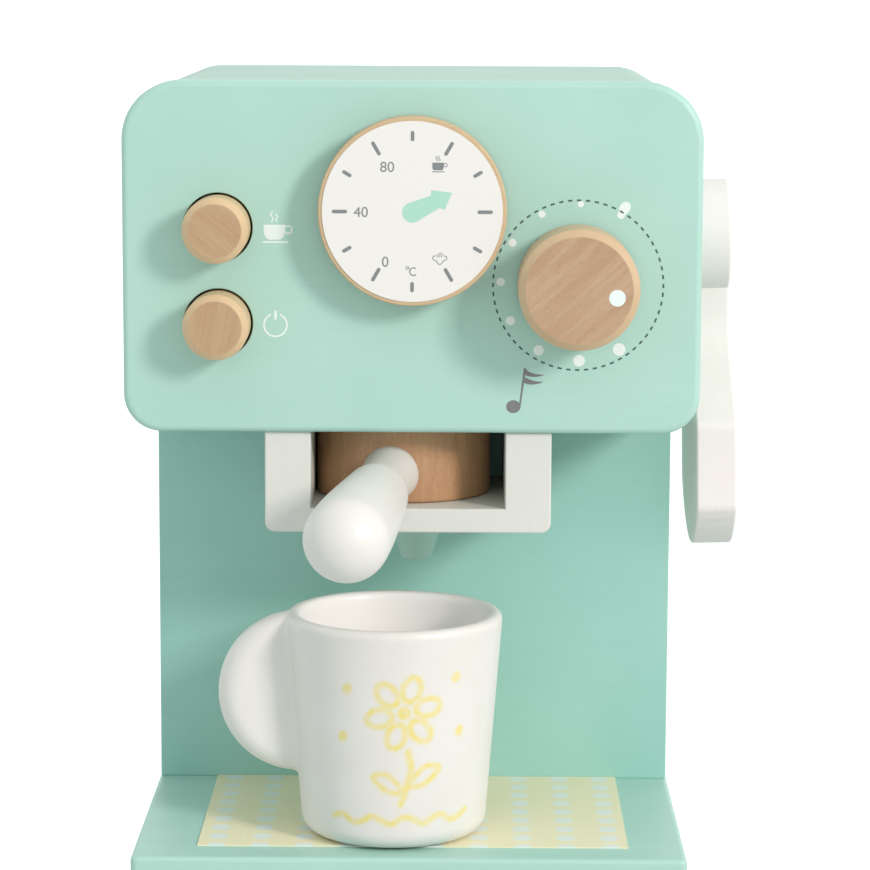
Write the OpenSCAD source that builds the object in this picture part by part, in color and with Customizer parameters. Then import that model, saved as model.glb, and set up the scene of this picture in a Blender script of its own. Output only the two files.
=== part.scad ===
// Toy coffee maker in painted board and turned wood.
// +Z is up, +X is to the right seen from the front, and the front faces -Y.
// The origin is the middle of the base plate's underside.

/* [Base] */
// Width of the base plate
base_w = 161; // [161:1:170]
// Depth of the base plate, front to back
base_d = 168; // [165:1:180]
// Thickness of the base plate
base_t = 12; // [10:0.5:15]
// Radius of the base plate's upright corners
base_corner_r = 2; // [1:0.5:4]
// Width of the drip mat
mat_w = 126; // [110:1:140]
// Depth of the drip mat
mat_d = 80; // [60:1:82]
// Sideways place of the drip mat
mat_x = 1; // [-5:0.5:5]
// Thickness of the drip mat
mat_t = 0.4; // [0.2:0.1:1]

/* [Column] */
// Width of the column and of the head's sides
col_w = 160; // [158:1:161]
// Depth of the column, front to back
col_d = 76; // [70:1:80]
// Thickness of the side, front and floor boards
board_t = 9; // [8:0.5:10]
// Thickness of the back board
back_t = 6; // [4:0.5:8]

/* [Head] */
// Height of the open bay between the base plate and the head
bay_h = 120; // [118:1:130]
// How far the front panel stands in front of the column
overhang = 64; // [63:1:70]
// Width of the front panel
panel_w = 168; // [166:1:174]
// Height of the front panel
panel_h = 102; // [100:1:108]
// Thickness of the front panel
panel_t = 12; // [12:0.5:13]
// Radius of the panel's upper corners
panel_top_r = 17; // [12:0.5:20]
// Radius of the panel's lower corners
panel_low_r = 11; // [8:0.5:14]
// Thickness of the top board
top_t = 16; // [15:0.5:18]
// Radius of the top board's long edges
top_edge_r = 15; // [10:0.5:15]

/* [Holder and spout] */
// Sideways place of the holder's middle
holder_x = -1; // [-3:0.5:1]
// Outer width of the filter holder
holder_w = 84; // [82:1:90]
// Height of the filter holder
holder_h = 30; // [29:0.5:32]
// Thickness of the holder's floor
holder_floor_t = 7.2; // [6:0.1:7.2]
// Thickness of the holder's two walls
holder_wall_t = 13.5; // [12:0.5:13.5]
// Radius of the holder's lower corners
holder_r = 3; // [2.5:0.5:6]
// How far the holder's front stands behind the panel's face
holder_set_back = 2.5; // [2:0.5:4]
// Radius of the spout where it meets the holder
spout_r = 9; // [8:0.5:10]
// Radius of the spout's tip
spout_tip_r = 4.5; // [3:0.5:6]
// Length of the spout below the holder
spout_l = 14; // [12:1:18]
// Sideways place of the spout
spout_x = 1; // [-3:0.5:3]

/* [Filter] */
// Radius of the filter's wooden disc
filter_r = 26.3; // [24:0.1:26.3]
// Height of the filter's disc
filter_h = 22; // [20:0.5:22]
// Sideways place of the disc's middle
filter_x = -2.9; // [-2.9:0.1:0]
// How far the handle is turned to the left of straight ahead, in degrees
handle_turn = 8; // [-10:0.1:12]
// How far the handle droops, in degrees
handle_droop = 4.8; // [3:0.1:4.8]
// Radius of the handle at its root
handle_root_r = 8.5; // [7.5:0.1:8.5]
// Radius of the handle's bulb
handle_bulb_r = 12.1; // [10:0.1:12.5]
// Distance from the disc's middle to the bulb's middle
handle_reach = 99.5; // [85:0.5:100]

/* [Buttons] */
// Sideways place of both buttons
button_x = -56.2; // [-57:0.1:-55]
// Height of the brew button above the head's underside
brew_up = 59.8; // [59.8:0.1:61]
// Height of the power button above the head's underside
power_up = 32; // [31:0.1:32]
// Radius of the buttons
button_r = 9.5; // [9:0.1:9.8]
// Gap round each button
button_gap = 0.55; // [0.3:0.05:0.8]
// How far the buttons stand in front of the panel
button_proud = 13; // [10:0.5:15]
// Width of the chamfer round each button's face
button_chamfer = 1.8; // [1:0.1:2.5]
// Travel of the buttons
button_travel = 6; // [4:0.5:6]

/* [Dial] */
// Height of the dial's middle above the head's underside
dial_up = 65.4; // [64:0.1:66]
// Radius of the dial's wooden disc
dial_r = 27.1; // [25:0.1:28]
// Thickness of the dial's disc
dial_t = 9.2; // [8:0.1:10]
// Radius of the dial's printed face
dial_face_r = 25.85; // [22:0.05:25.95]

/* [Sound knob] */
// Sideways place of the knob
knob_x = 47.8; // [46:0.1:49]
// Height of the knob's middle above the head's underside
knob_up = 44.1; // [43:0.1:45]
// Radius of the knob
knob_r = 17.3; // [15:0.1:18]
// Thickness of the knob
knob_t = 20.5; // [18:0.5:22]
// Width of the chamfer round the knob's face
knob_chamfer = 2; // [1:0.1:3]
// Number of teeth on the click wheel
wheel_teeth = 12; // [12:12:24]
// Radius over the click wheel's teeth
wheel_r = 17; // [15:0.5:17]
// Depth of the click wheel's teeth
tooth_depth = 2; // [1.5:0.1:2.5]

/* [Lever] */
// Height of the lever's pivot above the head's underside
pivot_up = 54; // [52:0.5:56]
// How far the pivot is in front of the column
pivot_ahead = 12.5; // [8:0.5:13]
// Thickness of the lever board
lever_t = 12; // [10:0.5:13]
// Gap between the lever and the head's side at the pivot
lever_gap = 3.4; // [3.4:0.1:5]
// How far the lever splays away from the side as it goes down, in degrees
lever_splay = 1.2; // [1.2:0.1:2]
// Radius of the lever's round head
lever_head_r = 17; // [14:0.5:18]
// Width of the lever's neck
lever_neck_w = 12.5; // [11:0.5:18]
// Distance from the pivot to where the neck starts to widen
flare_top = 31; // [26:1:34]
// Distance from the pivot to the grip's shoulders
grip_top = 54; // [46:1:58]
// Distance from the pivot to the end of the grip
grip_end = 95; // [90:0.5:98]
// Width of the grip
grip_w = 65; // [50:1:66]
// Radius of the grip's crowned end
crown_r = 42; // [40:1:60]

/* [Mug] */
// Sideways place of the mug
mug_x = -5; // [-10:1:10]
// Place of the mug's middle, front to back
mug_y = -52; // [-56:1:-50]
// Height of the mug
mug_h = 66; // [60:1:68]
// Outer radius at the mug's rim
mug_rim_r = 32.2; // [30:0.1:34]
// Outer radius at the mug's foot
mug_foot_r = 27.2; // [25:0.1:29]
// Wall thickness of the mug
mug_wall = 4.4; // [3.5:0.1:6]
// Radius of the mug's rounded foot edge
mug_edge_r = 5.5; // [3:0.5:7]
// Radius of the mug's half-round handle
ear_r = 24; // [20:0.5:24]
// Thickness of the mug's handle
ear_t = 14; // [10:0.5:16]
// Rounding of the mug handle's edge
ear_edge_r = 5; // [3:0.5:5]
// Height of the handle's middle above the mug's foot
ear_up = 42; // [40:0.2:42]
// How far the handle is turned towards the front, in degrees
ear_turn = 2; // [0:1:20]

/* [Hidden] */
$fn = 96;
eps = 0.1;           // how far a cutter runs past the face that it opens
run_gap = 0.08;      // radial clearance of a turning or sliding fit
rest_gap = 0.1;      // gap under a loose piece that rests on another
stop_gap = 0.1;      // gap where a moving piece rests against a stop

mint = "#B9DDD2";
white = "#F0EFEA";
beech = "#D2A67A";
stained = "#A87E5C";
pale_yellow = "#E6DDB0";
steel = "#B8BABD";
zinc = "#C9C7BD";
plain_wood = "#DDBE93";
fibre_board = "#C2A27C";

// Main places
back_y = base_d / 2;
col_y = back_y - col_d;
boards_back_y = back_y - back_t;
panel_y = col_y - overhang;
panel_back_y = panel_y + panel_t;
head_z = base_t + bay_h;
top_z = head_z + panel_h;
roof_z = top_z - top_t;
floor_top_z = head_z + board_t;
side_x = col_w / 2 - board_t;
side_mid_x = col_w / 2 - board_t / 2;

// Fasteners
screw_r = 1.75;
screw_head_r = 3.6;
screw_head_h = 2.4;
slot_w = 0.8;
slot_d = 1.2;
base_screw_l = 32;
back_screw_l = 22;
holder_screw_l = 30;
bridge_screw_l = 32;
reed_screw_l = 10;
cross_w = 1.2 * screw_head_r;
end_margin = 12;     // from a board's end to the first screw
back_screw_ups = [30, 85, 140, 190];
base_screw_spots = [for (side = [-1, 1])
    each [[side * side_mid_x, col_y + 2 * end_margin], [side * side_mid_x, boards_back_y - end_margin],
          [side * col_w / 4, col_y + board_t / 2]]];
back_screw_spots = concat(
    [for (side = [-1, 1]) for (up = back_screw_ups) [side * side_mid_x, base_t + up]],
    [for (side = [-1, 1]) [side * col_w / 4, roof_z + top_t / 2]]);
holder_screw_spots = [for (side = [-1, 1]) for (y = [panel_back_y + end_margin, col_y - end_margin])
    [holder_x + side * (holder_w - holder_wall_t) / 2, y]];
dowel_r = 3;
dowel_in_panel = 9;
dowel_in_board = 14;
dowel_ups = [24, 70];
dowel_spots = concat(
    [for (side = [-1, 1]) for (up = dowel_ups) [side * side_mid_x, head_z + up]],
    [for (side = [-1, 1]) [side * col_w / 4, roof_z + top_t / 2]]);

// Holder, spout and filter
holder_y = panel_y + holder_set_back;
holder_z = head_z - holder_h;
tray_z = holder_z + holder_floor_t;
tray_w = holder_w - 2 * holder_wall_t;
tenon_r = 4;
tenon_l = 5;
filter_gap = 0.5;
filter_edge = 0.8;
filter_y = col_y - filter_gap - filter_r;
filter_z = tray_z + rest_gap;
handle_down = 0.2;   // how far the handle sits below the middle of the disc's edge
handle_z = filter_z + filter_h / 2 - handle_down;
socket_d = 2;
socket_s = filter_r - socket_d;
socket_gap = 0.2;
root_round = 1.2;
neck_dip = 1.4;
neck_dip_end = 0.35;
handle_swell = 1.04;
handle_steps = 20;
bulb_step = 10;
filter_dowel_r = 4;
filter_dowel_in = 13;

// Buttons
brew_z = head_z + brew_up;
power_z = head_z + power_up;
button_front_y = panel_y - button_proud;
retainer_y = panel_back_y + stop_gap;
retainer_r = 12.5;
retainer_t = 3;
stem_r = 3;
stem_in = 11;
coil_r = 5;
wire_r = 0.5;
coil_turns = 5;
coil_steps = 12;
wire_sides = 8;
coil_spare = 3.9;    // what is left between the coils when a button is pressed home
spring_l = 2 * wire_r * coil_turns + button_travel + coil_spare;
bridge_y = retainer_y + retainer_t + spring_l;
bridge_t = 8;
bridge_w = 24;
stem_past_bridge = 4;
stem_end_y = bridge_y + bridge_t + stem_past_bridge;
bridge_x0 = button_x - bridge_w / 2;
bridge_x1 = button_x + bridge_w / 2;
block_gap = 1;
high_block_h = 9;
low_block_top = power_z - retainer_r - block_gap;
high_block_low = brew_z + retainer_r + block_gap;
bridge_top = high_block_low + high_block_h;
bridge_screw_spots = [[button_x, (floor_top_z + low_block_top) / 2],
                      [button_x, (high_block_low + bridge_top) / 2]];

// Dial
dial_x = 0.2;
dial_z = head_z + dial_up;
face_gap = 0.8;
dial_y = panel_y - face_gap;
dial_edge = 0.5;
face_t = 0.3;
axle_r = 4;
axle_in = 5;
ring_r = 10;
ring_t = 5;
ring_gap = 0.4;
ring_y = panel_back_y + ring_gap;

// Sound knob
knob_z = head_z + knob_up;
knob_gap = 1;
knob_y = panel_y - knob_gap;
knob_back_edge = 0.6;
shaft_r = 5;
shaft_in = 12;
wheel_y = panel_back_y + knob_gap;
wheel_t = 8;
washer_r = 9;
washer_t = 1.5;
end_screw_r = 2;
end_head_r = 4;
end_head_h = 2;
end_screw_in = 14;
tooth_gap = 0.3;
reed_t = 0.8;
reed_w = 6;
reed_x = knob_x - wheel_r - tooth_gap - reed_t;
reed_past_axle = 3;
reed_lift = 1;       // from the head's floor to the reed's lower end
reed_top = knob_z + reed_past_axle;
reed_y = wheel_y + (wheel_t - reed_w) / 2;
reed_block_w = 11;
reed_block_h = 17;
reed_block_d = 10;
pan_r = 2.4;
pan_h = 1.2;
reed_screw_r = 1.2;
reed_screw_ups = [5, 12];
reed_screw_spots = [for (up = reed_screw_ups) floor_top_z + up];

// Lever
pivot_y = col_y - pivot_ahead;
pivot_z = head_z + pivot_up;
lever_x = col_w / 2 + lever_gap;
bolt_r = 3;
bolt_head_r = 6;
bolt_head_h = 3.2;
bolt_gap = 0.2;
bolt_recess = 4;      // depth of the recess in the lever that takes the bolt's head
bolt_head_gap = 0.4;  // radial gap round the bolt's head in its recess
spacer_r = 9;
lever_washer_r = 8;
lever_washer_t = 1.5;
nut_r = 5.8;
nut_t = 5;
bolt_past_nut = 2.5;
lever_rest_gap = 0.3; // gap between the spacer and the splayed lever
lever_cut_past = 0.5; // how far a cutter runs past the splayed lever's faces
grip_r = 4;
neck_fillet = 20;
outline_fn = 48;

// Mug
mug_z = base_t + mat_t + rest_gap;
lip_r = mug_wall / 2;
mug_floor_t = 6;
mug_slope = (mug_rim_r - mug_foot_r) / (mug_h - lip_r - mug_edge_r);
ear_out = 27.9;

// ---------- shapes that repeat ----------

// An outline in X and Z, drawn out from y0 to y1
module along_y(y0, y1) {
    translate([0, y1, 0]) rotate([90, 0, 0]) linear_extrude(y1 - y0) children();
}

// An outline in Y and Z, drawn out from x0 to x1
module along_x(x0, x1) {
    translate([x0, 0, 0]) rotate([90, 0, 90]) linear_extrude(x1 - x0) children();
}

// A round bar along Y
module bar_y(x, z, y0, y1, r) {
    translate([x, y1, z]) rotate([90, 0, 0]) cylinder(h = y1 - y0, r = r);
}

// A round bar along X
module bar_x(y, z, x0, x1, r) {
    translate([x0, y, z]) rotate([0, 90, 0]) cylinder(h = x1 - x0, r = r);
}

// A plain block between two corners
module block(low, high) {
    translate(low) cube(high - low);
}

// A rectangle that stands on z = 0 with its own radius at the top and at the bottom
module rounded_outline(w, h, r_top, r_low) {
    translate([-w / 2, r_low]) square([w, h - r_low - r_top]);
    if (r_low > 0) translate([-w / 2 + r_low, 0]) square([w - 2 * r_low, h / 2]);
    translate([-w / 2 + r_top, h / 2]) square([w - 2 * r_top, h / 2]);
    for (side = [-1, 1]) {
        translate([side * (w / 2 - r_top), h - r_top]) circle(r_top);
        if (r_low > 0) translate([side * (w / 2 - r_low), r_low]) circle(r_low);
    }
}

// The body of a countersunk screw: its head's face is at the origin and it runs up along +Z
module screw_body(length, r = screw_r, head_r = screw_head_r, head_h = screw_head_h) {
    cylinder(h = head_h, r1 = head_r, r2 = r);
    cylinder(h = length, r = r);
}

// The same screw with a cross recess in its head
module screw(length) {
    difference() {
        screw_body(length);
        for (turn = [0, 90])
            rotate([0, 0, turn])
                translate([-cross_w / 2, -slot_w / 2, -eps])
                    cube([cross_w, slot_w, slot_d + eps]);
    }
}

// Children stand on the base plate's underside and point up
module at_base_screws() {
    for (spot = base_screw_spots) translate([spot[0], spot[1], 0]) children();
}

// Children start at the back face and point forwards
module at_back_screws() {
    for (spot = back_screw_spots)
        translate([spot[0], back_y, spot[1]]) rotate([90, 0, 0]) children();
}

// Children start on the head's floor and point down
module at_holder_screws() {
    for (spot = holder_screw_spots)
        translate([spot[0], spot[1], floor_top_z]) rotate([180, 0, 0]) children();
}

// Children start at the bridge's back and point forwards
module at_bridge_screws() {
    for (spot = bridge_screw_spots)
        translate([spot[0], bridge_y + bridge_t, spot[1]]) rotate([90, 0, 0]) children();
}

// The six dowels between the front panel and the boards behind it
module dowels() {
    for (spot = dowel_spots)
        bar_y(spot[0], spot[1], panel_back_y - dowel_in_panel, panel_back_y + dowel_in_board, dowel_r);
}

// ---------- case ----------

module base_plate() color(mint)
    difference() {
        linear_extrude(base_t)
            translate([0, -base_d / 2])
                rounded_outline(base_w, base_d, base_corner_r, base_corner_r);
        at_base_screws() screw_body(base_screw_l);
    }

module drip_mat() color(pale_yellow)
    block([mat_x - mat_w / 2, col_y - rest_gap - mat_d, base_t],
          [mat_x + mat_w / 2, col_y - rest_gap, base_t + mat_t]);

module column_front() color(mint)
    difference() {
        block([-col_w / 2, col_y, base_t], [col_w / 2, col_y + board_t, head_z]);
        at_base_screws() screw_body(base_screw_l);
    }

// One L-shaped side: a leg behind the column front, and an arm that carries the head
module side_board(x0) {
    difference() {
        along_x(x0, x0 + board_t)
            polygon([[col_y + board_t, base_t], [boards_back_y, base_t], [boards_back_y, roof_z],
                     [panel_back_y, roof_z], [panel_back_y, head_z], [col_y + board_t, head_z]]);
        at_base_screws() screw_body(base_screw_l);
        at_back_screws() screw_body(back_screw_l);
        dowels();
    }
}

module left_side() color(mint) side_board(-col_w / 2);

module right_side() color(mint)
    difference() {
        side_board(col_w / 2 - board_t);
        bar_x(pivot_y, pivot_z, side_x - eps, col_w / 2 + eps, bolt_r);
    }

module back_board() color(mint)
    difference() {
        along_y(boards_back_y, back_y)
            translate([0, base_t])
                rounded_outline(col_w, top_z - base_t, top_edge_r, 0);
        at_back_screws() screw_body(back_screw_l);
    }

module top_board() color(mint)
    difference() {
        along_y(panel_back_y, boards_back_y)
            translate([0, roof_z]) {
                square([col_w - 2 * top_edge_r, 2 * top_t], center = true);
                translate([-col_w / 2, 0]) square([col_w, top_t - top_edge_r]);
                for (side = [-1, 1])
                    translate([side * (col_w / 2 - top_edge_r), top_t - top_edge_r])
                        circle(top_edge_r);
            }
        block([-col_w, panel_back_y - eps, roof_z - 2 * top_t],
              [col_w, boards_back_y + eps, roof_z]);
        at_back_screws() screw_body(back_screw_l);
        dowels();
    }

module head_floor() color(mint)
    difference() {
        block([-side_x, panel_back_y, head_z], [side_x, boards_back_y, floor_top_z]);
        at_holder_screws() screw_body(holder_screw_l);
    }

module front_panel() color(mint)
    difference() {
        along_y(panel_y, panel_back_y)
            translate([0, head_z])
                rounded_outline(panel_w, panel_h, panel_top_r, panel_low_r);
        for (z = [brew_z, power_z])
            bar_y(button_x, z, panel_y - eps, panel_back_y + eps, button_r + button_gap);
        bar_y(dial_x, dial_z, panel_y - eps, panel_back_y + eps, axle_r + run_gap);
        bar_y(knob_x, knob_z, panel_y - eps, panel_back_y + eps, shaft_r + run_gap);
        dowels();
        at_bridge_screws() screw_body(bridge_screw_l);
    }

module base_screws() color(zinc) at_base_screws() screw(base_screw_l);

module back_screws() color(zinc) at_back_screws() screw(back_screw_l);

module holder_screws() color(zinc) at_holder_screws() screw(holder_screw_l);

module bridge_screws() color(zinc) at_bridge_screws() screw(bridge_screw_l);

module panel_dowels() color(plain_wood) dowels();

// ---------- holder and spout ----------

module filter_holder() color(white)
    difference() {
        along_y(holder_y, col_y)
            translate([holder_x, holder_z])
                rounded_outline(holder_w, holder_h, 0, holder_r);
        block([holder_x - tray_w / 2, holder_y - eps, tray_z],
              [holder_x + tray_w / 2, col_y + eps, head_z + eps]);
        at_holder_screws() screw_body(holder_screw_l);
        translate([spout_x, filter_y, holder_z - eps]) cylinder(h = tenon_l + eps, r = tenon_r);
    }

module spout() color(mint)
    translate([spout_x, filter_y, holder_z]) {
        translate([0, 0, -spout_l]) cylinder(h = spout_l, r1 = spout_tip_r, r2 = spout_r);
        cylinder(h = tenon_l, r = tenon_r);
    }

// ---------- buttons ----------

module button_cap(z) {
    difference() {
        translate([button_x, 0, z]) rotate([90, 0, 0])
            rotate_extrude()
                polygon([[0, -retainer_y], [button_r, -retainer_y],
                         [button_r, -button_front_y - button_chamfer],
                         [button_r - button_chamfer, -button_front_y], [0, -button_front_y]]);
        bar_y(button_x, z, retainer_y - stem_in, retainer_y + eps, stem_r);
    }
}

module button_retainer(z) {
    difference() {
        bar_y(button_x, z, retainer_y, retainer_y + retainer_t, retainer_r);
        bar_y(button_x, z, retainer_y - eps, retainer_y + retainer_t + eps, stem_r);
    }
}

module button_stem(z) {
    bar_y(button_x, z, retainer_y - stem_in, stem_end_y, stem_r);
}

// Points of one ring of the spring's wire, i steps along the coil
function coil_ring(i) = let (
    turn = i * 360 / coil_steps,
    rise = wire_r + (spring_l - 2 * wire_r) * i / (coil_turns * coil_steps))
    [for (k = [0 : wire_sides - 1]) let (a = k * 360 / wire_sides, reach = coil_r + wire_r * cos(a))
        [reach * cos(turn), reach * sin(turn), rise + wire_r * sin(a)]];

// A compression spring that stands on the origin
module coil_spring() {
    rings = coil_turns * coil_steps;
    points = [for (i = [0 : rings]) each coil_ring(i)];
    walls = [for (i = [0 : rings - 1]) for (k = [0 : wire_sides - 1])
        let (next = (k + 1) % wire_sides, here = i * wire_sides, there = here + wire_sides)
        [here + k, here + next, there + next, there + k]];
    ends = [[for (k = [wire_sides - 1 : -1 : 0]) k],
            [for (k = [0 : wire_sides - 1]) rings * wire_sides + k]];
    polyhedron(points, concat(walls, ends));
}

module button_spring(z) {
    translate([button_x, bridge_y, z]) rotate([90, 0, 0]) coil_spring();
}

module brew_button() color(beech) button_cap(brew_z);

module brew_retainer() color(plain_wood) button_retainer(brew_z);

module brew_stem() color(plain_wood) button_stem(brew_z);

module brew_spring() color(steel) button_spring(brew_z);

module power_button() color(beech) button_cap(power_z);

module power_retainer() color(plain_wood) button_retainer(power_z);

module power_stem() color(plain_wood) button_stem(power_z);

module power_spring() color(steel) button_spring(power_z);

module button_bridge() color(fibre_board)
    difference() {
        block([bridge_x0, bridge_y, floor_top_z], [bridge_x1, bridge_y + bridge_t, bridge_top]);
        for (z = [brew_z, power_z])
            bar_y(button_x, z, bridge_y - eps, bridge_y + bridge_t + eps, stem_r + run_gap);
        at_bridge_screws() screw_body(bridge_screw_l);
    }

module bridge_blocks() color(fibre_board)
    difference() {
        for (span = [[floor_top_z, low_block_top], [high_block_low, bridge_top]])
            block([bridge_x0, panel_back_y, span[0]], [bridge_x1, bridge_y, span[1]]);
        at_bridge_screws() screw_body(bridge_screw_l);
    }

// ---------- dial ----------

module dial_disc() color(beech)
    difference() {
        translate([dial_x, dial_y, dial_z]) rotate([90, 0, 0])
            rotate_extrude()
                polygon([[0, 0], [dial_r - dial_edge, 0], [dial_r, dial_edge],
                         [dial_r, dial_t - dial_edge], [dial_r - dial_edge, dial_t], [0, dial_t]]);
        bar_y(dial_x, dial_z, dial_y - axle_in, dial_y + eps, axle_r);
    }

module dial_face() color(white)
    bar_y(dial_x, dial_z, dial_y - dial_t - face_t, dial_y - dial_t, dial_face_r);

module dial_axle() color(plain_wood)
    bar_y(dial_x, dial_z, dial_y - axle_in, ring_y + ring_t, axle_r);

module dial_retainer() color(plain_wood)
    difference() {
        bar_y(dial_x, dial_z, ring_y, ring_y + ring_t, ring_r);
        bar_y(dial_x, dial_z, ring_y - eps, ring_y + ring_t + eps, axle_r);
    }

// ---------- sound knob ----------

module sound_knob() color(beech)
    difference() {
        translate([knob_x, knob_y, knob_z]) rotate([90, 0, 0])
            rotate_extrude()
                polygon([[0, 0], [knob_r - knob_back_edge, 0], [knob_r, knob_back_edge],
                         [knob_r, knob_t - knob_chamfer], [knob_r - knob_chamfer, knob_t],
                         [0, knob_t]]);
        bar_y(knob_x, knob_z, knob_y - shaft_in, knob_y + eps, shaft_r);
    }

module knob_shaft() color(plain_wood)
    difference() {
        bar_y(knob_x, knob_z, knob_y - shaft_in, wheel_y + wheel_t, shaft_r);
        bar_y(knob_x, knob_z, wheel_y + wheel_t - end_screw_in, wheel_y + wheel_t + eps, end_screw_r);
    }

// The wheel's outline: pointed teeth with straight flanks
module click_wheel() color(plain_wood)
    difference() {
        along_y(wheel_y, wheel_y + wheel_t)
            translate([knob_x, knob_z])
                polygon([for (i = [0 : 2 * wheel_teeth - 1])
                    let (a = i * 180 / wheel_teeth, r = wheel_r - tooth_depth * (i % 2))
                    [r * cos(a), r * sin(a)]]);
        bar_y(knob_x, knob_z, wheel_y - eps, wheel_y + wheel_t + eps, shaft_r);
    }

module knob_washer() color(steel)
    difference() {
        bar_y(knob_x, knob_z, wheel_y + wheel_t, wheel_y + wheel_t + washer_t, washer_r);
        bar_y(knob_x, knob_z, wheel_y, wheel_y + wheel_t + washer_t + eps, end_screw_r);
    }

module knob_screw() color(steel) {
    end_y = wheel_y + wheel_t + washer_t;
    bar_y(knob_x, knob_z, wheel_y + wheel_t - end_screw_in, end_y, end_screw_r);
    bar_y(knob_x, knob_z, end_y, end_y + end_head_h, end_head_r);
}

module click_reed() color(steel)
    difference() {
        block([reed_x, reed_y, floor_top_z + reed_lift],
              [reed_x + reed_t, reed_y + reed_w, reed_top]);
        for (z = reed_screw_spots)
            bar_x(reed_y + reed_w / 2, z, reed_x - eps, reed_x + reed_t + eps, reed_screw_r);
    }

module reed_block() color(fibre_board)
    difference() {
        block([reed_x - reed_block_w, panel_back_y, floor_top_z],
              [reed_x, panel_back_y + reed_block_d, floor_top_z + reed_block_h]);
        for (z = reed_screw_spots)
            bar_x(reed_y + reed_w / 2, z, reed_x + reed_t - reed_screw_l, reed_x + eps, reed_screw_r);
    }

module reed_screws() color(steel)
    for (z = reed_screw_spots) {
        bar_x(reed_y + reed_w / 2, z, reed_x + reed_t - reed_screw_l, reed_x + reed_t, reed_screw_r);
        bar_x(reed_y + reed_w / 2, z, reed_x + reed_t, reed_x + reed_t + pan_h, pan_r);
    }

// ---------- filter with its handle ----------

// Children's +Z runs out along the handle from the disc's axis
module along_handle() {
    translate([filter_x, filter_y, handle_z])
        rotate([0, 0, -handle_turn]) rotate([90 + handle_droop, 0, 0]) children();
}

// Radius of the handle, t = 0 at its root and 1 at the middle of the bulb
function handle_radius(t) = let (swell = pow(t, handle_swell))
    handle_root_r + (handle_bulb_r - handle_root_r) * swell * swell * (3 - 2 * swell)
    - neck_dip * sin(180 * min(1, t / neck_dip_end));

module filter_disc() color(stained)
    difference() {
        translate([filter_x, filter_y, filter_z])
            rotate_extrude()
                polygon([[0, 0], [filter_r - filter_edge, 0], [filter_r, filter_edge],
                         [filter_r, filter_h - filter_edge], [filter_r - filter_edge, filter_h],
                         [0, filter_h]]);
        along_handle() {
            translate([0, 0, socket_s]) cylinder(h = filter_r, r = handle_root_r + socket_gap);
            translate([0, 0, socket_s - filter_dowel_in])
                cylinder(h = filter_r, r = filter_dowel_r);
        }
    }

module filter_handle() color(white)
    along_handle() {
        length = handle_reach - socket_s;
        body = [for (i = [1 : handle_steps]) let (t = i / handle_steps)
            [handle_radius(t), socket_s + root_round + (length - root_round) * t]];
        cap = [for (a = [bulb_step : bulb_step : 90 - bulb_step])
            [handle_bulb_r * cos(a), handle_reach + handle_bulb_r * sin(a)]];
        difference() {
            rotate_extrude()
                polygon(concat([[0, socket_s], [handle_root_r - root_round, socket_s],
                                [handle_root_r, socket_s + root_round]],
                               body, cap, [[0, handle_reach + handle_bulb_r]]));
            translate([0, 0, socket_s - eps])
                cylinder(h = filter_dowel_in + eps, r = filter_dowel_r);
        }
    }

module filter_dowel() color(plain_wood)
    along_handle()
        translate([0, 0, socket_s - filter_dowel_in])
            cylinder(h = 2 * filter_dowel_in, r = filter_dowel_r);

// ---------- side lever ----------

// The lever's outline in Y and Z, with the pivot at the origin: a round head, a neck that
// flares, and a broad grip with a crowned end
module lever_outline() {
    circle(lever_head_r);
    offset(r = -neck_fillet, $fn = outline_fn) offset(delta = neck_fillet) {
        translate([-lever_neck_w / 2, -flare_top - eps]) square([lever_neck_w, flare_top + eps]);
        grip_outline();
    }
}

module grip_outline()
    offset(r = grip_r, $fn = outline_fn) offset(delta = -grip_r)
        intersection() {
            polygon([[lever_neck_w / 2, -flare_top], [grip_w / 2, -grip_top],
                     [grip_w / 2, -grip_end], [-grip_w / 2, -grip_end],
                     [-grip_w / 2, -grip_top], [-lever_neck_w / 2, -flare_top]]);
            translate([0, crown_r - grip_end]) circle(crown_r);
        }

module side_lever() color(white)
    difference() {
        translate([lever_x, pivot_y, pivot_z]) rotate([0, -lever_splay, 0])
            along_x(0, lever_t) lever_outline();
        bar_x(pivot_y, pivot_z, lever_x - lever_cut_past, lever_x + lever_t + lever_cut_past,
              bolt_r + run_gap);
        bar_x(pivot_y, pivot_z, lever_x + lever_t - bolt_recess, lever_x + lever_t + lever_cut_past,
              bolt_head_r + bolt_head_gap);
    }

module lever_spacer() color(plain_wood)
    difference() {
        bar_x(pivot_y, pivot_z, col_w / 2, lever_x - lever_rest_gap, spacer_r);
        bar_x(pivot_y, pivot_z, col_w / 2 - eps, lever_x + eps, bolt_r);
    }

module lever_washer() color(steel)
    difference() {
        bar_x(pivot_y, pivot_z, side_x - lever_washer_t, side_x, lever_washer_r);
        bar_x(pivot_y, pivot_z, side_x - lever_washer_t - eps, side_x + eps, bolt_r);
    }

module lever_nut() color(steel)
    difference() {
        translate([side_x - lever_washer_t - nut_t, pivot_y, pivot_z])
            rotate([0, 90, 0]) cylinder(h = nut_t, r = nut_r, $fn = 6);
        bar_x(pivot_y, pivot_z, side_x - lever_washer_t - nut_t - eps, side_x, bolt_r);
    }

module lever_bolt() color(steel) {
    head_x = lever_x + lever_t - bolt_recess + bolt_gap;
    difference() {
        bar_x(pivot_y, pivot_z, head_x, head_x + bolt_head_h, bolt_head_r);
        translate([head_x + bolt_head_h - slot_d, pivot_y - slot_w, pivot_z - bolt_head_r])
            cube([slot_d + eps, 2 * slot_w, 2 * bolt_head_r]);
    }
    bar_x(pivot_y, pivot_z, side_x - lever_washer_t - nut_t - bolt_past_nut, head_x, bolt_r);
}

// ---------- mug ----------

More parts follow.
